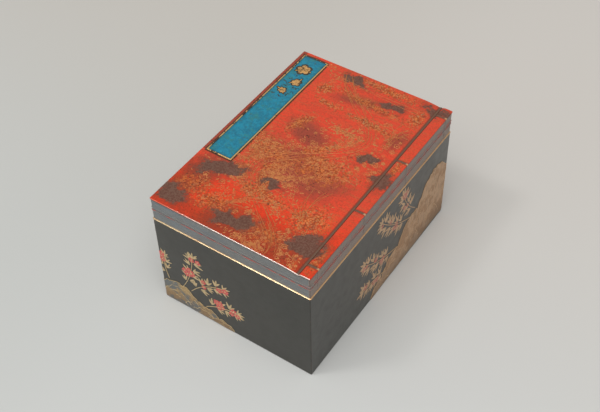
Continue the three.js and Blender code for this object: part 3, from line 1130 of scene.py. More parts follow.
def cover_paint(p):
    """What is painted at a point of the cover."""
    strip = p.x > THREAD_RIGHT
    ebb = 1 - 0.6 * unit((-34 - p.y / MM) / 8)
    bank = 0.0 if strip else 0.72 * stream_bank(p.x, p.y) * thinning(p.y) * ebb
    beside_slip = 0.9 if p.x < SLIP_LOW.x and p.y > SLIP_LOW.y else 0.0
    # Painted highlight on the slope a little left of the thread, fading out towards the head
    highlight_band = unit(1 - abs(p.x - THREAD_LEFT + 3.6 * MM) / (1.7 * MM))
    # The cover's upright edge below its rounding, which gets painted shade
    below = p.z < COVER_TOP - dip(p.x) - form().cover_edge * 1.1
    at_front = p.y < form().cover_edge * 0.7 - HALF_Y
    return {
        "mist": max(0.8 * patchwork(p.x, p.y, MISTS), bank),
        "cloud": patchwork(*lobed(p.x, p.y), CLOUDS),
        "halo": unit(4 * patchwork(*lobed(p.x, p.y), WIDE_CLOUDS)),
        "shade": max(patchwork(p.x, p.y, SHADES) * (0.4 if strip else 1), beside_slip),
        # Painted highlight on the slope
        "slope_highlight": highlight_band * unit((-18 * MM - p.y) / (22 * MM)),
        # Painted highlight along the rounding of the front edge
        "edge": 1.0 if at_front and not below else 0.0,
        # Painted shade on the upright edge, and dark old lacquer with painted shade along the slip and the
        # threads
        "dirt_and_shade": 1.0 if below else dirt_and_shade_along_slip_and_thread(p.x, p.y),
    }


def build_cover(material):
    """The upper book's front cover, pressed down along the thread, with its painted areas."""
    size = form()
    edges = (-HALF_X, HALF_X, -HALF_Y, HALF_Y)
    sizes = (COVER_LEAF, size.corner, size.cover_edge, size.cover_step)
    extra = pillow_places() + [THREAD_LEFT - size.seat_gap]
    piece = plate_piece("front_cover", edges, lambda x, y: COVER_TOP - dip(x), material, *sizes, extra)
    painted = [cover_paint(vertex.co) for vertex in piece.data.vertices]
    for name in painted[0]:
        paint(piece.data, name, [values[name] for values in painted])
    return settle(piece, "lid", "red_lacquer", "book_cover")


def build_slip(glaze):
    """The turquoise slip, let into the cover."""
    lowest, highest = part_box("title_slip")
    middle = (lowest + highest) / 2

    def crown(x, y):
        across = (x - middle.x) / (highest.x - middle.x)
        return highest.z - 0.06 * MM * across * across

    edges = (lowest.x, highest.x, lowest.y, highest.y)
    thickness = highest.z - COVER_TOP + SLIP_SUNK
    sizes = dict(corner=0.3 * MM, soft=0.14 * MM, spacing=0.8 * MM)
    slip = plate_piece("turquoise_slip", edges, crown, glaze, thickness, **sizes)
    rim = []
    for vertex in slip.data.vertices:
        x, y = vertex.co[:2]
        inward = min(x - lowest.x, highest.x - x, y - lowest.y, highest.y - y)
        rim.append(max(0.0, 1 - inward / (0.55 * MM)))
    paint(slip.data, "rim", rim)
    settle(slip, "lid", "turquoise_glaze", "title_slip")


def build_slip_frame(gilt):
    """The slip's gold frame, worn most at its head and along its left side."""
    lowest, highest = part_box("title_slip")
    width = lowest.x - SLIP_LOW.x
    bottom, top = COVER_TOP - SLIP_SUNK, SLIP_HIGH.z
    section = rounded_bar(-width * 0.9, 0, bottom, top, (0, 0, width * 0.3, width * 0.3))
    half = np.array((SLIP_HIGH - SLIP_LOW)[:2]) / 2
    centre = np.array((SLIP_HIGH + SLIP_LOW)[:2]) / 2
    ring = []
    for number, steps in enumerate((60, 12, 60, 12)):
        here, after = np.array(CORNERS[number]), np.array(CORNERS[(number + 1) % 4])
        ring += [here + (after - here) * step / steps for step in range(steps)]
    points = [(*(centre + side * (half + outset)), z) for outset, z in section for side in ring]
    frame_piece = new_piece("slip_frame", points, hoop_faces(len(section), len(ring)), gilt)
    wear = []
    for vertex in frame_piece.data.vertices:
        beside = 0.55 if vertex.co.x < centre[0] else 0.05
        wear.append(0.8 if vertex.co.y > highest.y else beside)
    paint(frame_piece.data, "wear", wear)
    settle(frame_piece, "lid", "gilt_metal", "title_slip_border")


# Geometry node trees


class Growth(Nodes):
    """A geometry tree with named inputs, which ends in real geometry with a finish."""

    def __init__(self, name, inputs):
        super().__init__(bpy.data.node_groups.new(name, "GeometryNodeTree"))
        sockets = self.tree.interface
        for label, kind in (("Geometry", "Geometry"), *inputs, ("Finish", "Material")):
            sockets.new_socket(label, in_out="INPUT", socket_type=f"NodeSocket{kind}")
        sockets.new_socket("Geometry", in_out="OUTPUT", socket_type="NodeSocketGeometry")
        self.given = self.put("NodeGroupInput").outputs

    def kept(self, name):
        """A number kept on each point."""
        node = self.put("GeometryNodeInputNamedAttribute", {"Name": name}, data_type="FLOAT")
        return node.outputs["Attribute"]

    def done(self, grown):
        """Makes what has grown real, gives it the finish and hands it out."""
        real = self.put("GeometryNodeRealizeInstances", {"Geometry": grown}).outputs[0]
        finished = self.put("GeometryNodeSetMaterial", {"Geometry": real, "Material": self.given["Finish"]})
        self.put("NodeGroupOutput", {0: finished.outputs[0]})
        return self.tree


def scatter_tree():
    """Sets a motif on every point, turned and sized by the point, and varied a little with a fixed seed."""
    limits = (("Least size", "Float"), ("Greatest size", "Float"))
    nodes = Growth("scatter_motif", (("Motif", "Object"), *limits, ("Seed", "Int")))
    given = nodes.given
    motif = nodes.put("GeometryNodeObjectInfo", {"Object": given["Motif"]}).outputs["Geometry"]
    turn = nodes.put("ShaderNodeCombineXYZ", {"Z": nodes.kept("turn")}).outputs[0]
    rotation = nodes.put("FunctionNodeEulerToRotation", {"Euler": turn}).outputs[0]
    # The random value node keeps limits for each kind of value: inputs 2 and 3 and output 1 are for numbers.
    chance = {2: given["Least size"], 3: given["Greatest size"], "Seed": given["Seed"]}
    varied = nodes.put("FunctionNodeRandomValue", chance, data_type="FLOAT").outputs[1]
    size = nodes.times(varied, nodes.kept("size"))
    inputs = {"Points": given["Geometry"], "Instance": motif, "Rotation": rotation, "Scale": size}
    return nodes.done(nodes.put("GeometryNodeInstanceOnPoints", inputs).outputs[0])


def stem_tree():
    """Turns drawn lines into round stems whose thickness is kept on their points."""
    nodes = Growth("drawn_stems", (("Thickness", "Float"), ("Sides", "Int")))
    given = nodes.given
    line = nodes.put("GeometryNodeMeshToCurve", {"Mesh": given["Geometry"]}).outputs[0]
    circle = {"Resolution": given["Sides"], "Radius": given["Thickness"]}
    section = nodes.put("GeometryNodeCurvePrimitiveCircle", circle).outputs[0]
    sized = nodes.put("GeometryNodeSetCurveRadius", {"Curve": line, "Radius": nodes.kept("size")}).outputs[0]
    inputs = {"Curve": sized, "Profile Curve": section, "Fill Caps": True}
    return nodes.done(nodes.put("GeometryNodeCurveToMesh", inputs).outputs[0])


def grow(name, tree, base, inputs):
    """The plain mesh that a tree makes from a base mesh with the given inputs."""
    seedling = stand(name, base)
    modifier = seedling.modifiers.new("grow", "NODES")
    modifier.node_group = tree
    keys = {item.name: item.identifier for item in tree.interface.items_tree if item.in_out == "INPUT"}
    for label, value in inputs.items():
        modifier[keys[label]] = value
    depsgraph = bpy.context.evaluated_depsgraph_get()
    made = bpy.data.meshes.new_from_object(seedling.evaluated_get(depsgraph), depsgraph=depsgraph)
    seedling.modifiers.clear()
    bpy.data.objects.remove(seedling)
    if not made.vertices:
        raise RuntimeError(f"{name} came out empty")
    return made


def point_mesh(name, places):
    """Points to scatter on, from (x, y, lift, turn, size) places."""
    mesh = new_mesh(name, [place[:3] for place in places], [])
    paint(mesh, "turn", [place[3] for place in places])
    paint(mesh, "size", [place[4] for place in places])
    return mesh


def line_mesh(name, lines):
    """Lines to thicken, each a list of (x, y, lift, size) points."""
    points, edges = [], []
    for line in lines:
        edges += [(len(points) + k, len(points) + k + 1) for k in range(len(line) - 1)]
        points += line
    mesh = new_mesh(name, [point[:3] for point in points], [], edges)
    paint(mesh, "size", [point[3] for point in points])
    return mesh


def lay_down(name, mesh, bend, body, slot):
    """Bends a flat decoration onto its surface and seats it as a piece."""
    flat = np.empty(len(mesh.vertices) * 3, np.float32)
    mesh.vertices.foreach_get("co", flat)
    bent = bend(flat.reshape(-1, 3).astype(float))
    mesh.vertices.foreach_set("co", bent.astype(np.float32).ravel())
    smooth(mesh, 50)
    mesh.name = name
    mesh.update()
    return settle(stand(name, mesh), body, slot)


# Surfaces that carry decoration


def on_cover(points):
    """Lifts flat (x, y, lift) points onto the cover."""
    heights = np.array([COVER_TOP - dip(x) for x in points[:, 0]])
    return np.column_stack([points[:, 0], points[:, 1], heights + points[:, 2]])


FOOT_TURN = math.radians(50)


def on_wall(points):
    """Bends flat (along, up, lift) points round the walls, along from the front left corner to the right."""
    corner, foot = form().corner, form().foot
    lengths = (2 * HALF_X, 2 * HALF_Y, 2 * HALF_X, 2 * HALF_Y)
    bent = []
    for along, up, lift in points:
        rest = along % WALK_LENGTH
        side = 0
        while rest > lengths[side] and side < 3:
            rest -= lengths[side]
            side += 1
        start = np.array(CORNERS[side - 1]) * (HALF_X, HALF_Y)
        square = (side - 1) * math.pi / 2
        straight = min(max(rest, corner), lengths[side] - corner)
        angle = square + (rest - straight) / corner * math.pi / 4
        turn = FOOT_TURN * max(0.0, 1 - up / foot)
        outset = -foot + (foot + lift) * math.cos(turn) if up < foot else lift
        height = foot - (foot + lift) * math.sin(turn) if up < foot else up
        centre = start + compass(square + math.pi / 2) * straight - compass(square) * corner
        bent.append((*(centre + compass(angle) * (corner + outset)), height))
    return np.array(bent)


# Motifs


def add_dome(shape, centre, heading, rings, top, bottom, sides):
    """Adds a closed dome to a shape: a top point, two rings of (radius, height) and a bottom point."""
    points, faces = shape
    start = len(points)
    points.append((*centre, top))
    for radius, height in rings:
        for step in range(sides):
            points.append((*(centre + radius * compass(heading + math.tau * step / sides)), height))
    points.append((*centre, bottom))
    inner, outer = start + 1, start + 1 + sides
    for step in range(sides):
        after = (step + 1) % sides
        faces.append((start, inner + step, inner + after))
        faces.append((inner + step, outer + step, outer + after, inner + after))
        faces.append((outer + sides, outer + after, outer + step))
    return shape


def petal_flower(height, radius=0.43):
    """A flat flower of round domed petals about one unit wide on each side of its middle."""
    shape = ([], [])
    for number in range(PETALS):
        heading = math.tau * number / PETALS
        rings = ((radius * 0.62, height * 0.85), (radius, 0.0))
        add_dome(shape, compass(heading) * 0.58, heading, rings, height, -height * 0.3, 7)
    return shape


def bud(shape, radius, height, sides=6):
    """Adds a small domed middle."""
    rings = ((radius, height * 0.6), (radius * 1.15, 0.0))
    return add_dome(shape, np.zeros(2), 0, rings, height, -height * 0.2, sides)


def outline_flower(line, height, steps=4):
    """A flower drawn as one closed raised line round its petals."""
    count = PETALS * steps
    points = []
    for k in range(count):
        angle = math.tau * k / count
        reach = 0.62 + 0.38 * abs(math.sin(PETALS * angle / 2)) ** 0.7
        for across, lift in ((0.0, height), (line / 2, -height * 0.3), (-line / 2, -height * 0.3)):
            points.append((*((reach + across) * compass(angle)), lift))
    return points, hoop_faces(count, 3)


def leaf_blade(reach, width, height, steps=5):
    """A pointed leaf along +X with a raised midrib."""
    points = []
    for k in range(steps + 1):
        t = k / steps
        half = width / 2 * math.sin(math.pi * min(0.98, 0.1 + 0.9 * t)) ** 0.65
        x = reach * t
        rise = height * (0.5 + 0.5 * math.sin(math.pi * t))
        points += [(x, -half, 0.0), (x, 0.0, rise), (x, half, 0.0), (x, 0.0, -height * 0.4)]
    return points, rod_faces(steps + 1, 4)


def scatter(name, shape, places, material, bend, body, slot, seed, least=0.85, most=1.15):
    """Scatters a motif over places and lays the result on its surface."""
    motif = f"{name}_motif"
    inputs = {
        "Motif": bpy.data.objects.new(motif, new_mesh(motif, *shape)),
        "Least size": float(least),
        "Greatest size": float(most),
        "Seed": seed,
        "Finish": material,
    }
    mesh = grow(name, TREES["scatter"], point_mesh(name, places), inputs)
    return lay_down(name, mesh, bend, body, slot)


def draw_stems(name, lines, material, bend, body, slot, thickness, sides):
    """Thickens drawn lines and lays them on their surface."""
    inputs = {"Thickness": thickness, "Sides": sides, "Finish": material}
    mesh = grow(name, TREES["stem"], line_mesh(name, lines), inputs)
    return lay_down(name, mesh, bend, body, slot)


TREES = {}
FINISHES = {}


def bow(start, end, rise, steps=12):
    """Points on a curve from start to end, bowed sideways by rise, in metres."""
    start, end = np.array(start, float) * MM, np.array(end, float) * MM
    along = end - start
    sideways = np.array([-along[1], along[0]])
    sideways /= np.linalg.norm(sideways)
    middle = (start + end) / 2 + sideways * rise * MM
    shares = np.linspace(0, 1, steps + 1)
    return [start * (1 - t) ** 2 + middle * 2 * t * (1 - t) + end * t * t for t in shares]


def headings(points):
    """The direction of a line at each of its points, in radians."""
    last = len(points) - 1
    steps = [points[min(k + 1, last)] - points[max(k - 1, 0)] for k in range(last + 1)]
    return [math.atan2(step[1], step[0]) for step in steps]


# Binding


def strap_mesh(line, width, thickness):
    """A soft flat strap along an (x, z) line, centred on y = 0."""
    section = ((-0.5, 0.0), (-0.5, 0.5), (-0.36, 0.9), (0.0, 1.0), (0.36, 0.9), (0.5, 0.5), (0.5, 0.0))
    points = []
    for k, (x, z) in enumerate(line):
        before, after = line[max(k - 1, 0)], line[min(k + 1, len(line) - 1)]
        along = Vector((after[0] - before[0], after[1] - before[1])).normalized()
        for across, lift in section:
            rise = lift * thickness
            points.append((x - along.y * rise, across * width, z + along.x * rise))
    return points, rod_faces(len(line), len(section))


def spine_line(upper):
    """The line of a cross thread: over the spine strip and down the upper book, or down the lower book."""
    page_x = HALF_X - PAGE_INSET * 0.95
    if not upper:
        return [(page_x, z) for z in np.linspace(LOWER_LEAF, LID_BOTTOM + 0.03 * MM, 6)]
    soft = form().cover_edge
    over = [(x, COVER_TOP - dip(x)) for x in pillow_places()[1:]]
    flat = [(x, COVER_TOP) for x in np.linspace(over[-1][0] + 0.4 * MM, HALF_X - soft, 4)]
    turns = [math.radians(degrees) for degrees in (22, 45, 68)]
    bend = [(HALF_X - soft + soft * math.sin(a), COVER_TOP - soft + soft * math.cos(a)) for a in turns]
    edge = [(HALF_X - 0.02 * MM, COVER_TOP - soft), (HALF_X - 0.03 * MM, PAGE_TOP + 0.1 * MM)]
    down = [(page_x, z) for z in np.linspace(PAGE_TOP - 0.15 * MM, UPPER_LEAF, 6)]
    return over + flat + bend + edge + down


def build_binding(material):
    """The long thread in its seat and the threads that cross the spine at four places."""
    width = THREAD_RIGHT - THREAD_LEFT
    height = high("spine_thread", Z) - low("spine_thread", Z)
    top = COVER_TOP - PRESS_DEPTH + height
    edges = (THREAD_LEFT, THREAD_RIGHT, -HALF_Y + 0.1 * MM, HALF_Y - 0.1 * MM)
    sizes = dict(corner=0.2 * MM, soft=form().thread_edge, spacing=1.5 * MM)
    piece = plate_piece("long_thread", edges, lambda x, y: top, material, height, **sizes)
    settle(piece, "lid", "binding_thread", "spine_thread")
    down_side = HALF_X - PAGE_INSET * 1.5
    turn = HALF_X - 0.35 * MM
    places = [(0.0, y, 0.0, 0.0, 1.0) for y in STATION_YS]
    surface = (material, lambda points: points, "lid", "binding_thread")
    for upper, label in ((True, "upper"), (False, "lower")):
        strap = strap_mesh(spine_line(upper), width, form().cross_thread)
        crossing = scatter(f"{label}_threads", strap, places, *surface, seed=1, least=1, most=1)
        bare, painted_highlight = [], []
        for vertex in crossing.data.vertices:
            x, y, z = vertex.co
            bare.append(1.0 if x > down_side and z < PAGE_TOP else 0.0)
            # Painted highlight where each cross thread turns over the spine's edge
            painted_highlight.append(1.0 if x > turn and z > PAGE_TOP - 0.1 * MM else 0.0)
        paint(crossing.data, "bare", bare)
        paint(crossing.data, "painted_highlight", painted_highlight)
        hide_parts(*(f"{label}_thread_{number}" for number in range(1, 5)))


# Tray


def build_tray(black, inside, gilt):
    """The hanging tray: walls, sprinkled bottom and a gilt flange."""
    edge = form().edge
    walls = rounded_bar(TRAY_INNER, TRAY_OUTER, TRAY_BOTTOM, TRAY_TOP, (edge, edge * 2, 0, 0))
    piece = ring_piece("tray_walls", walls, black)
    settle(piece, "tray", "black_lacquer", *all_sides("tray_wall"))
    flange = rounded_bar(TRAY_INNER, FLANGE_OUTER, TRAY_TOP, FLANGE_TOP, (0, edge, edge * 3, edge * 2))
    settle(ring_piece("tray_flange", flange, gilt), "tray", "gilt_metal", *all_sides("tray_flange"))
    lowest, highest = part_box("tray_bottom")
    edges = (lowest.x, highest.x, lowest.y, highest.y)
    sizes = dict(corner=0.4 * MM, soft=0.05 * MM, spacing=6 * MM)
    thickness = highest.z - lowest.z
    bottom = plate_piece("tray_floor", edges, lambda x, y: highest.z, inside, thickness, **sizes)
    settle(bottom, "tray", "interior_lacquer", "tray_bottom")


# Decoration of the walls, in millimetres along and up


# Mounds of each bank: middle, half width and height
LOW_MOUNDS = (
    (-92, 20, 10),
    (-66, 26, 17),
    (-38, 22, 12),
    (-12, 20, 18),
    (8, 15, 16),
    (22, 12, 9),
    (33, 8, 5),
)
TALL_MOUNDS = (
    (143, 10, 8),
    (155, 14, 17),
    (171, 18, 28),
    (191, 23, 41),
    (216, 24, 35),
    (242, 20, 21),
    (260, 13, 9),
)


def crest(along, mounds):
    """Height of a bank of overlapping rounded mounds, with a slightly broken edge."""
    height = 0.0
    for centre, half, top in mounds:
        share = 1 - ((along - centre) / half) ** 2
        if share > 0:
            height = max(height, top * share**0.6)
    broken = noise.fractal(Vector((along * 0.45, 3.1, 0)), 1.0, 2.0, 4)
    knobs = abs(noise.noise(Vector((along * 0.28, 9.4, 0))))
    return max(0.0, height + (1.1 * broken + 2.6 * knobs - 0.8) * min(1.0, height / 5))


def reach_of(mounds):
    """Where a bank of mounds starts and ends."""
    start = min(centre - half for centre, half, top in mounds)
    end = max(centre + half for centre, half, top in mounds)
    return start, end


def build_bank(name, mounds, material):
    """A low-relief bank that stands on the foot and follows the walls round a corner."""
    start, end = reach_of(mounds)
    foot = 0.2
    pitch = 0.45
    rows = 18
    rise, tuck = 0.13, 0.08
    columns = [a for a in np.arange(start + pitch, end, pitch) if crest(a, mounds) > foot + 0.8]
    grid = np.zeros((len(columns), rows, 3))
    for i, along in enumerate(columns):
        top = crest(along, mounds)
        for j in range(rows):
            up = foot + (top - foot) * (j / (rows - 1))
            wave = noise.fractal(Vector((along * 0.35, up * 0.3, 7.7)), 1.0, 2.0, 3)
            ledge = 0.04 * math.sin(up * 1.1 + 2.6 * noise.noise(Vector((along * 0.12, up * 0.12, 1))))
            at_edge = j in (0, rows - 1) or i in (0, len(columns) - 1)
            lift = -0.01 if at_edge else min(max(rise + 0.03 * wave + ledge, 0.05), 0.185)
            grid[i, j] = (along * MM, up * MM, lift * MM)
    under = [grid[i, j] - (0, 0, tuck * MM) for i, j in slab_border(len(columns), rows)]
    points = np.concatenate([grid.reshape(-1, 3), under])
    piece = new_piece(name, on_wall(points), slab_faces(len(columns), rows, 1), material, 60)
    return settle(piece, "box", "black_lacquer")


def ridge_lines(mounds, seed):
    """A pale line along a bank's crest, and broken lines of nearer mounds below it."""
    chance = random.Random(seed)
    crest_line = []
    for along in np.arange(*reach_of(mounds), 0.4):
        top = crest(along, mounds)
        if top > 1.2:
            crest_line.append((along * MM, (top - 0.2) * MM, 0.1 * MM, 0.75 + 0.25 * math.sin(along)))
    lines = [crest_line]
    for centre, half, top in mounds:
        for scale in (0.78, 0.55, 0.34):
            middle = centre + half * chance.uniform(-0.2, 0.2)
            line = []
            for k in range(41):
                share = -0.9 + 1.8 * k / 40
                along = middle + half * scale * share
                knob = noise.noise(Vector((along * 0.5, scale * 9, 2)))
                up = top * scale * (1 - share * share) ** 0.6 + knob
                seen = 1.0 < up < crest(along, mounds) - 0.8
                rubbed = noise.noise(Vector((along * 0.25, scale * 5, 6))) > 0.12
                if seen and not rubbed:
                    line.append((along * MM, up * MM, 0.12 * MM, 0.5 + 0.4 * math.sin(math.pi * k / 40)))
                elif line:
                    lines.append(line)
                    line = []
            lines.append(line)
    return [line for line in lines if len(line) > 2]


# Sprays as start, end, sideways bow, and how far along the stem each tuft of blossoms stands
LOW_SPRAYS = (
    ((12, 15), (20, 40), -3, (0.55, 0.95)),
    ((17, 15), (36, 29), 4, (0.5, 0.95)),
    ((4, 16), (3, 31), 2, (0.9,)),
    ((25, 9), (43, 16), 3, (0.5, 0.9)),
    ((-14, 14), (-34, 34), -4, (0.4, 0.95)),
    ((-46, 12), (-72, 27), -4, (0.4, 0.7, 0.95)),
)
TALL_SPRAYS = (
    ((168, 27), (141, 47), 4, (0.45, 0.7, 0.95)),
    ((156, 17), (127, 32), 4, (0.4, 0.65, 0.95)),
    ((148, 8), (126, 14), -3, (0.5, 0.9)),
    ((172, 30), (160, 48), 3, (0.6, 0.95)),
    ((238, 20), (262, 38), -5, (0.4, 0.7, 0.95)),
    ((226, 30), (240, 48), 4, (0.6, 0.95)),
)


def spray_parts(sprays, seed, leaf_size, flower_size, flower_count):
    """Stems, leaves and blossoms of all sprays, flat, in metres. Leaves stand in fans along each stem."""
    chance = random.Random(seed)
    stems, leaves, flowers = [], [], []
    for start, end, rise, tufts in sprays:
        line = bow(start, end, rise, 24)
        heading = headings(line)
        last = len(line) - 1
        stems.append([(*p, 0.03 * MM, 1.0 - 0.5 * k / last) for k, p in enumerate(line)])
        fans = max(3, round(math.dist(start, end) / 3.0))
        for number in range(fans + 1):
            k = round(last * (0.2 + 0.8 * number / fans))
            side = 0 if number == fans else 1 - 2 * (number % 2)
            facing = heading[k] + side * math.radians(chance.uniform(38, 60))
            root = line[k] + compass(facing) * (1.4 * MM if side else 0.0)
            for blade in (-1, 0, 1) if side else (-2, -1, 0, 1, 2):
                slant = facing + blade * math.radians(chance.uniform(26, 38))
                size = leaf_size * MM * chance.uniform(0.85, 1.15) * (1.0 - 0.12 * abs(blade))
                leaves.append((*root, 0.02 * MM, slant, size))
        for number, share in enumerate(tufts):
            k = round(last * share)
            side = 1 - 2 * (number % 2)
            middle = line[k] + compass(heading[k] + math.pi / 2) * side * 1.3 * MM
            count = chance.randint(*flower_count)
            first = chance.uniform(0, math.tau)
            for petal in range(count):
                turn = first + math.tau * petal / count + chance.uniform(-0.3, 0.3)
                away = flower_size * MM * (0 if count == 1 else 0.95)
                size = flower_size * MM * chance.uniform(0.85, 1.15)
                flowers.append((*(middle + compass(turn) * away), 0.05 * MM, turn, size))
    return stems, leaves, flowers


def build_wall_sprays(name, sprays, gold, red, seed, leaf_size, flower_size, flower_count):
    """Gold leaves and stems with red blossoms over a bank."""
    stems, leaves, flowers = spray_parts(sprays, seed, leaf_size, flower_size, flower_count)
    metal = (gold, on_wall_low, "box", "gilt_metal")
    draw_stems(f"{name}_stems", stems, *metal, thickness=0.2 * MM, sides=6)
    blade = leaf_blade(reach=1.0, width=0.25, height=0.02)
    scatter(f"{name}_leaves", blade, leaves, *metal, seed)
    petals = (red, on_wall_low, "box", "red_lacquer")
    scatter(f"{name}_blossoms", petal_flower(height=0.06), flowers, *petals, seed + 1)
    eye = bud(([], []), radius=0.15, height=0.075)
    scatter(f"{name}_blossom_eyes", eye, flowers, *metal, seed + 1)


def on_wall_low(points):
    """Bends decoration round the walls and keeps it no prouder than the rims."""
    points[:, 2] = np.clip(points[:, 2], -0.06 * MM, RIM_OUT * 0.95)
    return on_wall(points)


# Decoration of the cover, in millimetres


# Tufts as root, middle heading and half fan in degrees, number of grasses, and reach
GRASS_TUFTS = (
    ((-21, -18), 72, 44, 9, 22),
    ((28, 24), 112, 48, 9, 17),
    ((21, -36), 128, 50, 9, 20),
    ((-12, -44), 42, 36, 7, 16),
)
# Mist lines as left end, right end and height up the cover
MIST_LINES = ((-21, 31, 52.5), (-15, 33, 50.6), (12, 34, 35), (18, 34, 33.4))


def clear_of_slip(x, y, margin):
    """Whether a place on the cover is clear of the slip, the thread and the cover's edge."""
    over_slip = SLIP_LOW.x - margin < x < SLIP_HIGH.x + margin and SLIP_LOW.y - margin < y
    edge = margin + 0.4 * MM
    return not over_slip and edge - HALF_X < x < THREAD_LEFT - edge and abs(y) < HALF_Y - edge


def beside_stream(share, away):
    """The place, in metres, that lies off the stream by away millimetres at a share of its fall."""
    step = 0.001
    slope = (stream_x(share + step) - stream_x(share)) / step
    along = math.hypot(slope, STREAM_FALL)
    x = stream_x(share) + away * STREAM_FALL / along
    y = STREAM_TOP - STREAM_FALL * share + away * slope / along
    return x * MM, y * MM


def bank_places(seed, count, nearest, spread, size):
    """Places strewn on both banks of the stream, thickest in its bends."""
    chance = random.Random(seed)
    places = []
    while len(places) < count:
        share = chance.uniform(-0.04, 1.03)
        bend = abs(stream_wave(share))
        side = chance.choice((-1, 1))
        away = side * (nearest + abs(chance.gauss(0, spread)) * (0.35 + bend))
        x, y = beside_stream(share, away)
        wanted = (0.15 + 0.85 * bend**3) * thinning(y) > chance.random()
        wanted = wanted and patchwork(*lobed(x, y), CLOUDS) < 0.2
        if wanted and clear_of_slip(x, y, size * MM):
            places.append((x, y, 0.0, chance.uniform(0, math.tau), size * MM * chance.uniform(0.65, 1.25)))
    return places


def stream_lines(seed, count, half_width):
    """Thin broken lines of running water."""
    chance = random.Random(seed)
    lines = []
    for number in range(count):
        away = half_width * (2 * number / (count - 1) - 1)
        share = -0.02 + 0.05 * chance.random()
        while share < 1.0:
            stretch = chance.uniform(0.12, 0.3)
            line = []
            for k in range(25):
                t = share + stretch * k / 24
                x, y = beside_stream(t, away + 0.5 * math.sin(t * 26 + number * 1.7))
                if clear_of_slip(x, y, 0.3 * MM):
                    line.append((x, y, 0.0, 0.4 + 0.6 * math.sin(math.pi * k / 24)))
            if len(line) > 4:
                lines.append(line)
            share += stretch + chance.uniform(0.01, 0.06)
    return lines


def grass_lines(seed):
    """Thin curved grasses that fan out from their tufts."""
    chance = random.Random(seed)
    lines = []
    for (x, y), middle, fan, count, reach in GRASS_TUFTS:
        for number in range(count):
            heading = math.radians(middle + fan * (number / (count - 1) - 0.5) * 2 + chance.uniform(-6, 6))
            distance = reach * chance.uniform(0.6, 1.1)
            end = (x, y) + compass(heading) * distance
            bend = distance * chance.uniform(0.16, 0.36) * (1 if heading < math.radians(middle) else -1)
            line = bow((x + chance.uniform(-1, 1), y), end, bend, 14)
            kept = [p for p in line if clear_of_slip(*p, 0.3 * MM)]
            if len(kept) > 4:
                lines.append([(*p, 0.02 * MM, 1.0 - 0.7 * k / len(line)) for k, p in enumerate(kept)])
    return lines


def mist_lines():
    """Long thin lines of drifting mist at the head of the cover."""
    lines = []
    for left, right, level in MIST_LINES:
        line = []
        for k in range(31):
            t = k / 30
            x = left + (right - left) * t
            y = level + 0.5 * math.sin(t * 5 + level) - 1.5 * t
            line.append((x * MM, y * MM, 0.0, 0.35 + 0.65 * math.sin(math.pi * t)))
        lines.append(line)
    return lines


def build_cover_decoration(gold):
    """Raised gold water, blossoms, leaves, grasses and mist lines on the cover."""
    surface = (gold, on_cover, "lid", "gilt_metal")
    blossoms = bank_places(seed=11, count=330, nearest=3.6, spread=8.0, size=1.15)
    small = bank_places(seed=17, count=100, nearest=2.6, spread=8.0, size=0.75)
    leaves = bank_places(seed=23, count=480, nearest=3.0, spread=10.0, size=1.6)
    eye = bud(([], []), radius=0.26, height=0.1, sides=5)
    blade = leaf_blade(reach=1.0, width=0.34, height=0.06, steps=4)
    water = stream_lines(seed=3, count=6, half_width=2.6)
    scatter("cover_flowers", outline_flower(line=0.3, height=0.1), blossoms, *surface, seed=11)
    scatter("cover_flower_eyes", eye, blossoms, *surface, seed=11)
    scatter("cover_small_flowers", petal_flower(height=0.08), small, *surface, seed=17)
    scatter("cover_leaves", blade, leaves, *surface, seed=23)
    draw_stems("cover_water", water, *surface, thickness=0.12 * MM, sides=5)
    draw_stems("cover_grasses", grass_lines(seed=5), *surface, thickness=0.12 * MM, sides=5)
    draw_stems("cover_mist_lines", mist_lines(), *surface, thickness=0.1 * MM, sides=5)


def slip_curls(places, chance, lowest, highest):
    """Short curling lines round all but the first of the slip's flowers, kept inside the slip."""
    lines = []
    margin = 0.9 * MM
    for place in places[1:]:
        for number in range(16):
            bearing = math.tau * number / 16 + chance.uniform(-0.3, 0.3)
            away = place[4] + chance.uniform(1.2, 3.6) * MM
            centre = place[:2] + compass(bearing) * away
            radius = chance.uniform(0.45, 0.95) * MM
            first = chance.uniform(0, math.tau)
            line = [centre + radius * (1 - 0.4 * k / 10) * compass(first + 4.2 * k / 10) for k in range(11)]
            inside = all(
                lowest.x + margin < x < highest.x - margin and lowest.y + margin < y < highest.y - margin
                for x, y in line
            )
            clear = all(math.dist(centre, other[:2]) > other[4] * 1.25 + radius for other in places)
            if inside and clear:
                lines.append([(*point, 0.0, 1.0 - 0.5 * k / 10) for k, point in enumerate(line)])
    return lines


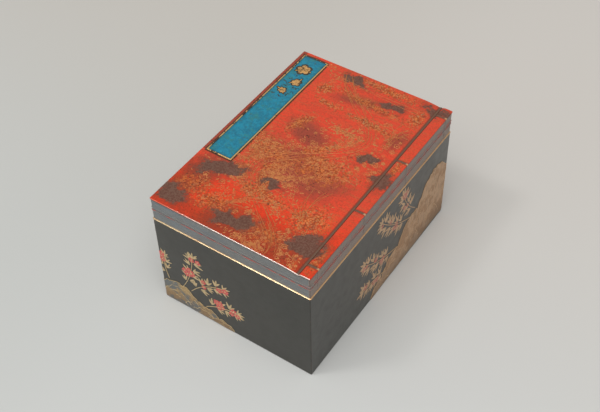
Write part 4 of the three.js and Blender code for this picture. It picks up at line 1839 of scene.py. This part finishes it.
def build_slip_ornament(gold, dark):
    """Three small raised flowers with leaves on the slip, dark outlines beneath them, and curling lines."""
    lowest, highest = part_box("title_slip")
    middle_x = (lowest.x + highest.x) / 2
    places = []
    for down, aside, size in ((9.5, -0.8, 3.4), (19.5, 1.4, 2.4), (27.5, -1.2, 2.0)):
        places.append((middle_x + aside * MM, highest.y - down * MM, 0.0, down, size * MM))
    top = highest.z - 0.03 * MM

    def on_slip(points):
        points[:, 2] = np.clip(points[:, 2], -0.03 * MM, 0.09 * MM) + top
        return points

    def under_slip_gold(points):
        points[:, 2] = np.clip(points[:, 2], -0.03 * MM, 0.015 * MM) + top + 0.03 * MM
        return points

    metal = (gold, on_slip, "lid", "gilt_metal")
    shadow = (dark, under_slip_gold, "lid", "black_lacquer")
    flower = bud(petal_flower(height=0.045, radius=0.5), radius=0.16, height=0.06)
    scatter("slip_flowers", flower, places, *metal, seed=3, least=1, most=1)
    wider = [(*place[:4], place[4] * 1.22) for place in places]
    scatter("slip_flower_outlines", flower, wider, *shadow, seed=3, least=1, most=1)
    chance = random.Random(4)
    leaves = []
    for place in places:
        for number in range(2):
            heading = place[3] + math.tau * (number * 2 + 0.5) / PETALS + chance.uniform(-0.1, 0.1)
            root = place[:2] + compass(heading) * place[4] * 0.7
            leaves.append((*root, 0.05 * MM, heading, 2.0 * MM))
    blade = leaf_blade(reach=1.0, width=0.3, height=0.03, steps=4)
    broad = leaf_blade(reach=1.15, width=0.62, height=0.03, steps=4)
    scatter("slip_leaves", blade, leaves, *metal, seed=4)
    scatter("slip_leaf_outlines", broad, leaves, *shadow, seed=4)
    curls = slip_curls(places, chance, lowest, highest)
    surface = (dark, on_slip, "lid", "black_lacquer")
    draw_stems("slip_curls", curls, *surface, thickness=0.19 * MM, sides=5)


# Studio


# Which way each lamp stands from the box
KEY_SIDE = (-0.37, -0.38, 0.85)
BROAD_SIDE = (0.15, -0.34, 0.93)


def build_studio():
    """The floor, the camera at the photograph's angle, and soft lights."""
    setting = studio()
    new_floor(setting)
    camera_data = bpy.data.cameras.new("camera")
    camera_data.lens = setting.lens
    camera_data.sensor_width = 36
    camera_data.clip_start = 0.01
    camera_data.clip_end = 50
    camera = stand("camera", camera_data)
    camera.matrix_world = (
        Matrix.Translation(setting.place)
        @ Matrix.Rotation(math.radians(setting.azimuth), 4, "Z")
        @ Matrix.Rotation(math.radians(90 - setting.elevation), 4, "X")
        @ Matrix.Rotation(math.radians(setting.roll), 4, "Z")
    )
    bpy.context.scene.camera = camera
    add_lamp("key", KEY_SIDE, setting.key_size, setting.key)
    add_lamp("broad", BROAD_SIDE, setting.broad_size, setting.broad)
    light_world(setting.sky, setting.sky_lean)
    bpy.context.scene.view_settings.view_transform = "Standard"


def new_floor(setting):
    """A wide pale floor with painted shade: warmer and a little darker far away, and a little darker on the
    left.
    """
    half = 3.0
    corners = [(-half, -half, 0), (half, -half, 0), (half, half, 0), (-half, half, 0)]
    floor = stand("floor", new_mesh("floor", corners, [(0, 1, 2, 3)]))
    paper = Finish("floor_paper", setting.floor)
    x, y, z = paper.axes()
    # Painted shade: warmer and a little darker far away
    paper.lay(paper.ramp(y, -120, 180), setting.shaded_far_floor)
    # Painted shade: a little darker on the left
    paper.lay(paper.ramp(x, -140, 30, 1, 0), (0.91, 0.912, 0.9), "MULTIPLY")
    floor.data.materials.append(paper.done({"Roughness": 0.9, "Specular IOR Level": 0.2}))
    return floor


def add_lamp(name, side, size, watts):
    """A soft square lamp that stands towards side and faces the box."""
    data = bpy.data.lights.new(name, "AREA")
    data.shape = "SQUARE"
    data.size = size
    data.energy = watts
    lamp = stand(name, data)
    lamp.location = Vector(side) * studio().lamp_distance
    aim = Vector((0, 0, 0.03)) - lamp.location
    lamp.rotation_euler = aim.to_track_quat("-Z", "Y").to_euler()


def light_world(strength, lean):
    """Pale surroundings, brighter on the lamps' side by lean and dimmer on the other, and brighter below."""
    world = bpy.data.worlds.new("surroundings")
    bpy.context.scene.world = world
    world.use_nodes = True
    nodes = Nodes(world.node_tree)
    nodes.tree.nodes.clear()
    sight = nodes.put("ShaderNodeTexCoord").outputs["Generated"]

    def towards(side):
        inputs = {0: sight, 1: side}
        return nodes.put("ShaderNodeVectorMath", inputs, operation="DOT_PRODUCT").outputs["Value"]

    beside = towards(tuple(Vector(BROAD_SIDE).normalized()))
    level = nodes.ramp(beside, -0.6, 1.0, strength * (1 - lean), strength * (1 + lean))
    level = nodes.times(level, nodes.ramp(towards((0.0, 0.0, 1.0)), 0.0, 0.8, 1.25, 0.7))
    background = nodes.put("ShaderNodeBackground", {"Color": (0.985, 0.99, 1.0, 1.0), "Strength": level})
    nodes.put("ShaderNodeOutputWorld", {"Surface": background.outputs[0]})


# Steps


class INCENSE_OT_finishes(bpy.types.Operator):
    """Make the materials and the node trees"""

    bl_idname = "incense.finishes"
    bl_label = "Finishes"

    def execute(self, context):
        palette = colours()
        FINISHES.update(
            black=black_lacquer(),
            pages=page_grey(),
            inner_red=inner_cover_red(),
            gilt=gilding(),
            frame_gilt=frame_gilding(),
            cover=cover_lacquer(),
            turquoise=turquoise_glaze(),
            thread=thread_brown(),
            inside=sprinkled_inside(),
            gold=raised_gold("raised_gold", palette.gold),
            pale_gold=raised_gold("pale_gold", palette.pale_gold, rough=0.45, metal=0.4),
            slip_gold=raised_gold(
                "slip_gold", shade(238, 182, 112), metal=0.5, under=shade(70, 52, 38), rub=0.95
            ),
            slip_dark=raised_gold("slip_dark", shade(58, 58, 50), rough=0.5, metal=0.0),
            line_gold=raised_gold(
                "line_gold", palette.line_gold, rough=0.5, metal=0.3, under=palette.worn_line, rub=0.9
            ),
            blossom=blossom_red("blossom_red", palette.blossom, shade(226, 128, 104)),
            dull_blossom=blossom_red("blossom_copper", palette.dull_blossom, shade(196, 146, 120)),
            bank=bank_gold("bank_gold", palette.bank, palette.bank_shade, upright=0.35, greyness=0.6),
            slope=bank_gold("slope_bronze", palette.slope, palette.slope_shade, upright=0.25, greyness=0.0),
        )
        TREES.update(scatter=scatter_tree(), stem=stem_tree())
        return {"FINISHED"}


class INCENSE_OT_box(bpy.types.Operator):
    """Build the walls, the bottom, the inner lip and both gilt rims"""

    bl_idname = "incense.box"
    bl_label = "Box, lip and rims"

    def execute(self, context):
        build_walls(FINISHES["black"])
        build_rims(FINISHES["gilt"])
        build_lip(FINISHES["inside"])
        dress(["box_bottom"], FINISHES["inside"])
        return {"FINISHED"}


class INCENSE_OT_books(bpy.types.Operator):
    """Build the page edges, the inner covers, the lid's board and the front cover"""

    bl_idname = "incense.books"
    bl_label = "Books"

    def execute(self, context):
        build_pages(FINISHES["pages"])
        build_inner_covers(FINISHES["inner_red"])
        build_lid_board(FINISHES["inside"])
        build_cover(FINISHES["cover"])
        return {"FINISHED"}


class INCENSE_OT_slip(bpy.types.Operator):
    """Build the title slip, its frame and its ornament"""

    bl_idname = "incense.slip"
    bl_label = "Title slip"

    def execute(self, context):
        build_slip(FINISHES["turquoise"])
        build_slip_frame(FINISHES["frame_gilt"])
        build_slip_ornament(FINISHES["slip_gold"], FINISHES["slip_dark"])
        return {"FINISHED"}


class INCENSE_OT_binding(bpy.types.Operator):
    """Build the binding threads"""

    bl_idname = "incense.binding"
    bl_label = "Binding"

    def execute(self, context):
        build_binding(FINISHES["thread"])
        return {"FINISHED"}


class INCENSE_OT_tray(bpy.types.Operator):
    """Build the hanging tray"""

    bl_idname = "incense.tray"
    bl_label = "Tray"

    def execute(self, context):
        build_tray(FINISHES["black"], FINISHES["inside"], FINISHES["gilt"])
        return {"FINISHED"}


class INCENSE_OT_cover_decoration(bpy.types.Operator):
    """Lay the raised gold on the cover"""

    bl_idname = "incense.cover_decoration"
    bl_label = "Cover decoration"

    def execute(self, context):
        build_cover_decoration(FINISHES["line_gold"])
        return {"FINISHED"}


class INCENSE_OT_wall_decoration(bpy.types.Operator):
    """Lay the banks, sprays and blossoms round the walls"""

    bl_idname = "incense.wall_decoration"
    bl_label = "Wall decoration"

    def execute(self, context):
        build_bank("low_bank", LOW_MOUNDS, FINISHES["bank"])
        build_bank("tall_slope", TALL_MOUNDS, FINISHES["slope"])
        gold, pale = FINISHES["gold"], FINISHES["pale_gold"]
        low_form = dict(seed=31, leaf_size=4.4, flower_size=1.9, flower_count=(2, 4))
        tall_form = dict(seed=47, leaf_size=5.2, flower_size=1.5, flower_count=(1, 3))
        build_wall_sprays("low", LOW_SPRAYS, gold, FINISHES["blossom"], **low_form)
        build_wall_sprays("tall", TALL_SPRAYS, pale, FINISHES["dull_blossom"], **tall_form)
        for name, mounds, metal, seed in (("low", LOW_MOUNDS, gold, 3), ("tall", TALL_MOUNDS, pale, 8)):
            ridges = ridge_lines(mounds, seed)
            surface = (metal, on_wall_low, "box", "gilt_metal")
            draw_stems(f"{name}_ridges", ridges, *surface, thickness=0.17 * MM, sides=6)
        return {"FINISHED"}


class INCENSE_OT_studio(bpy.types.Operator):
    """Set up the floor, camera and lights"""

    bl_idname = "incense.studio"
    bl_label = "Studio"

    def execute(self, context):
        build_studio()
        return {"FINISHED"}


STEPS = (
    INCENSE_OT_finishes,
    INCENSE_OT_box,
    INCENSE_OT_books,
    INCENSE_OT_slip,
    INCENSE_OT_binding,
    INCENSE_OT_tray,
    INCENSE_OT_cover_decoration,
    INCENSE_OT_wall_decoration,
    INCENSE_OT_studio,
)


class INCENSE_PT_panel(bpy.types.Panel):
    """Lists the steps that build the incense box"""

    bl_idname = "INCENSE_PT_panel"
    bl_label = "Incense Box"
    bl_space_type = "VIEW_3D"
    bl_region_type = "UI"
    bl_category = "Incense Box"

    def draw(self, context):
        for step in STEPS:
            self.layout.operator(step.bl_idname)
        for group in (form(), colours(), studio()):
            column = self.layout.column(align=True)
            for name in group.bl_rna.properties.keys():
                if name not in ("rna_type", "name"):
                    column.prop(group, name)


GROUPS = (BoxForm, BoxColours, StudioForm)


def register():
    for cls in (*GROUPS, *STEPS, INCENSE_PT_panel):
        bpy.utils.register_class(cls)
    bpy.types.Scene.incense_form = bpy.props.PointerProperty(type=BoxForm)
    bpy.types.Scene.incense_colours = bpy.props.PointerProperty(type=BoxColours)
    bpy.types.Scene.incense_studio = bpy.props.PointerProperty(type=StudioForm)


def unregister():
    del bpy.types.Scene.incense_form
    del bpy.types.Scene.incense_colours
    del bpy.types.Scene.incense_studio
    for cls in reversed((*GROUPS, *STEPS, INCENSE_PT_panel)):
        bpy.utils.unregister_class(cls)


def main():
    """Builds everything in order."""
    register()
    for step in STEPS:
        getattr(bpy.ops.incense, step.bl_idname.split(".")[1])()
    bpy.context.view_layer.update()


if __name__ == "__main__":
    main()
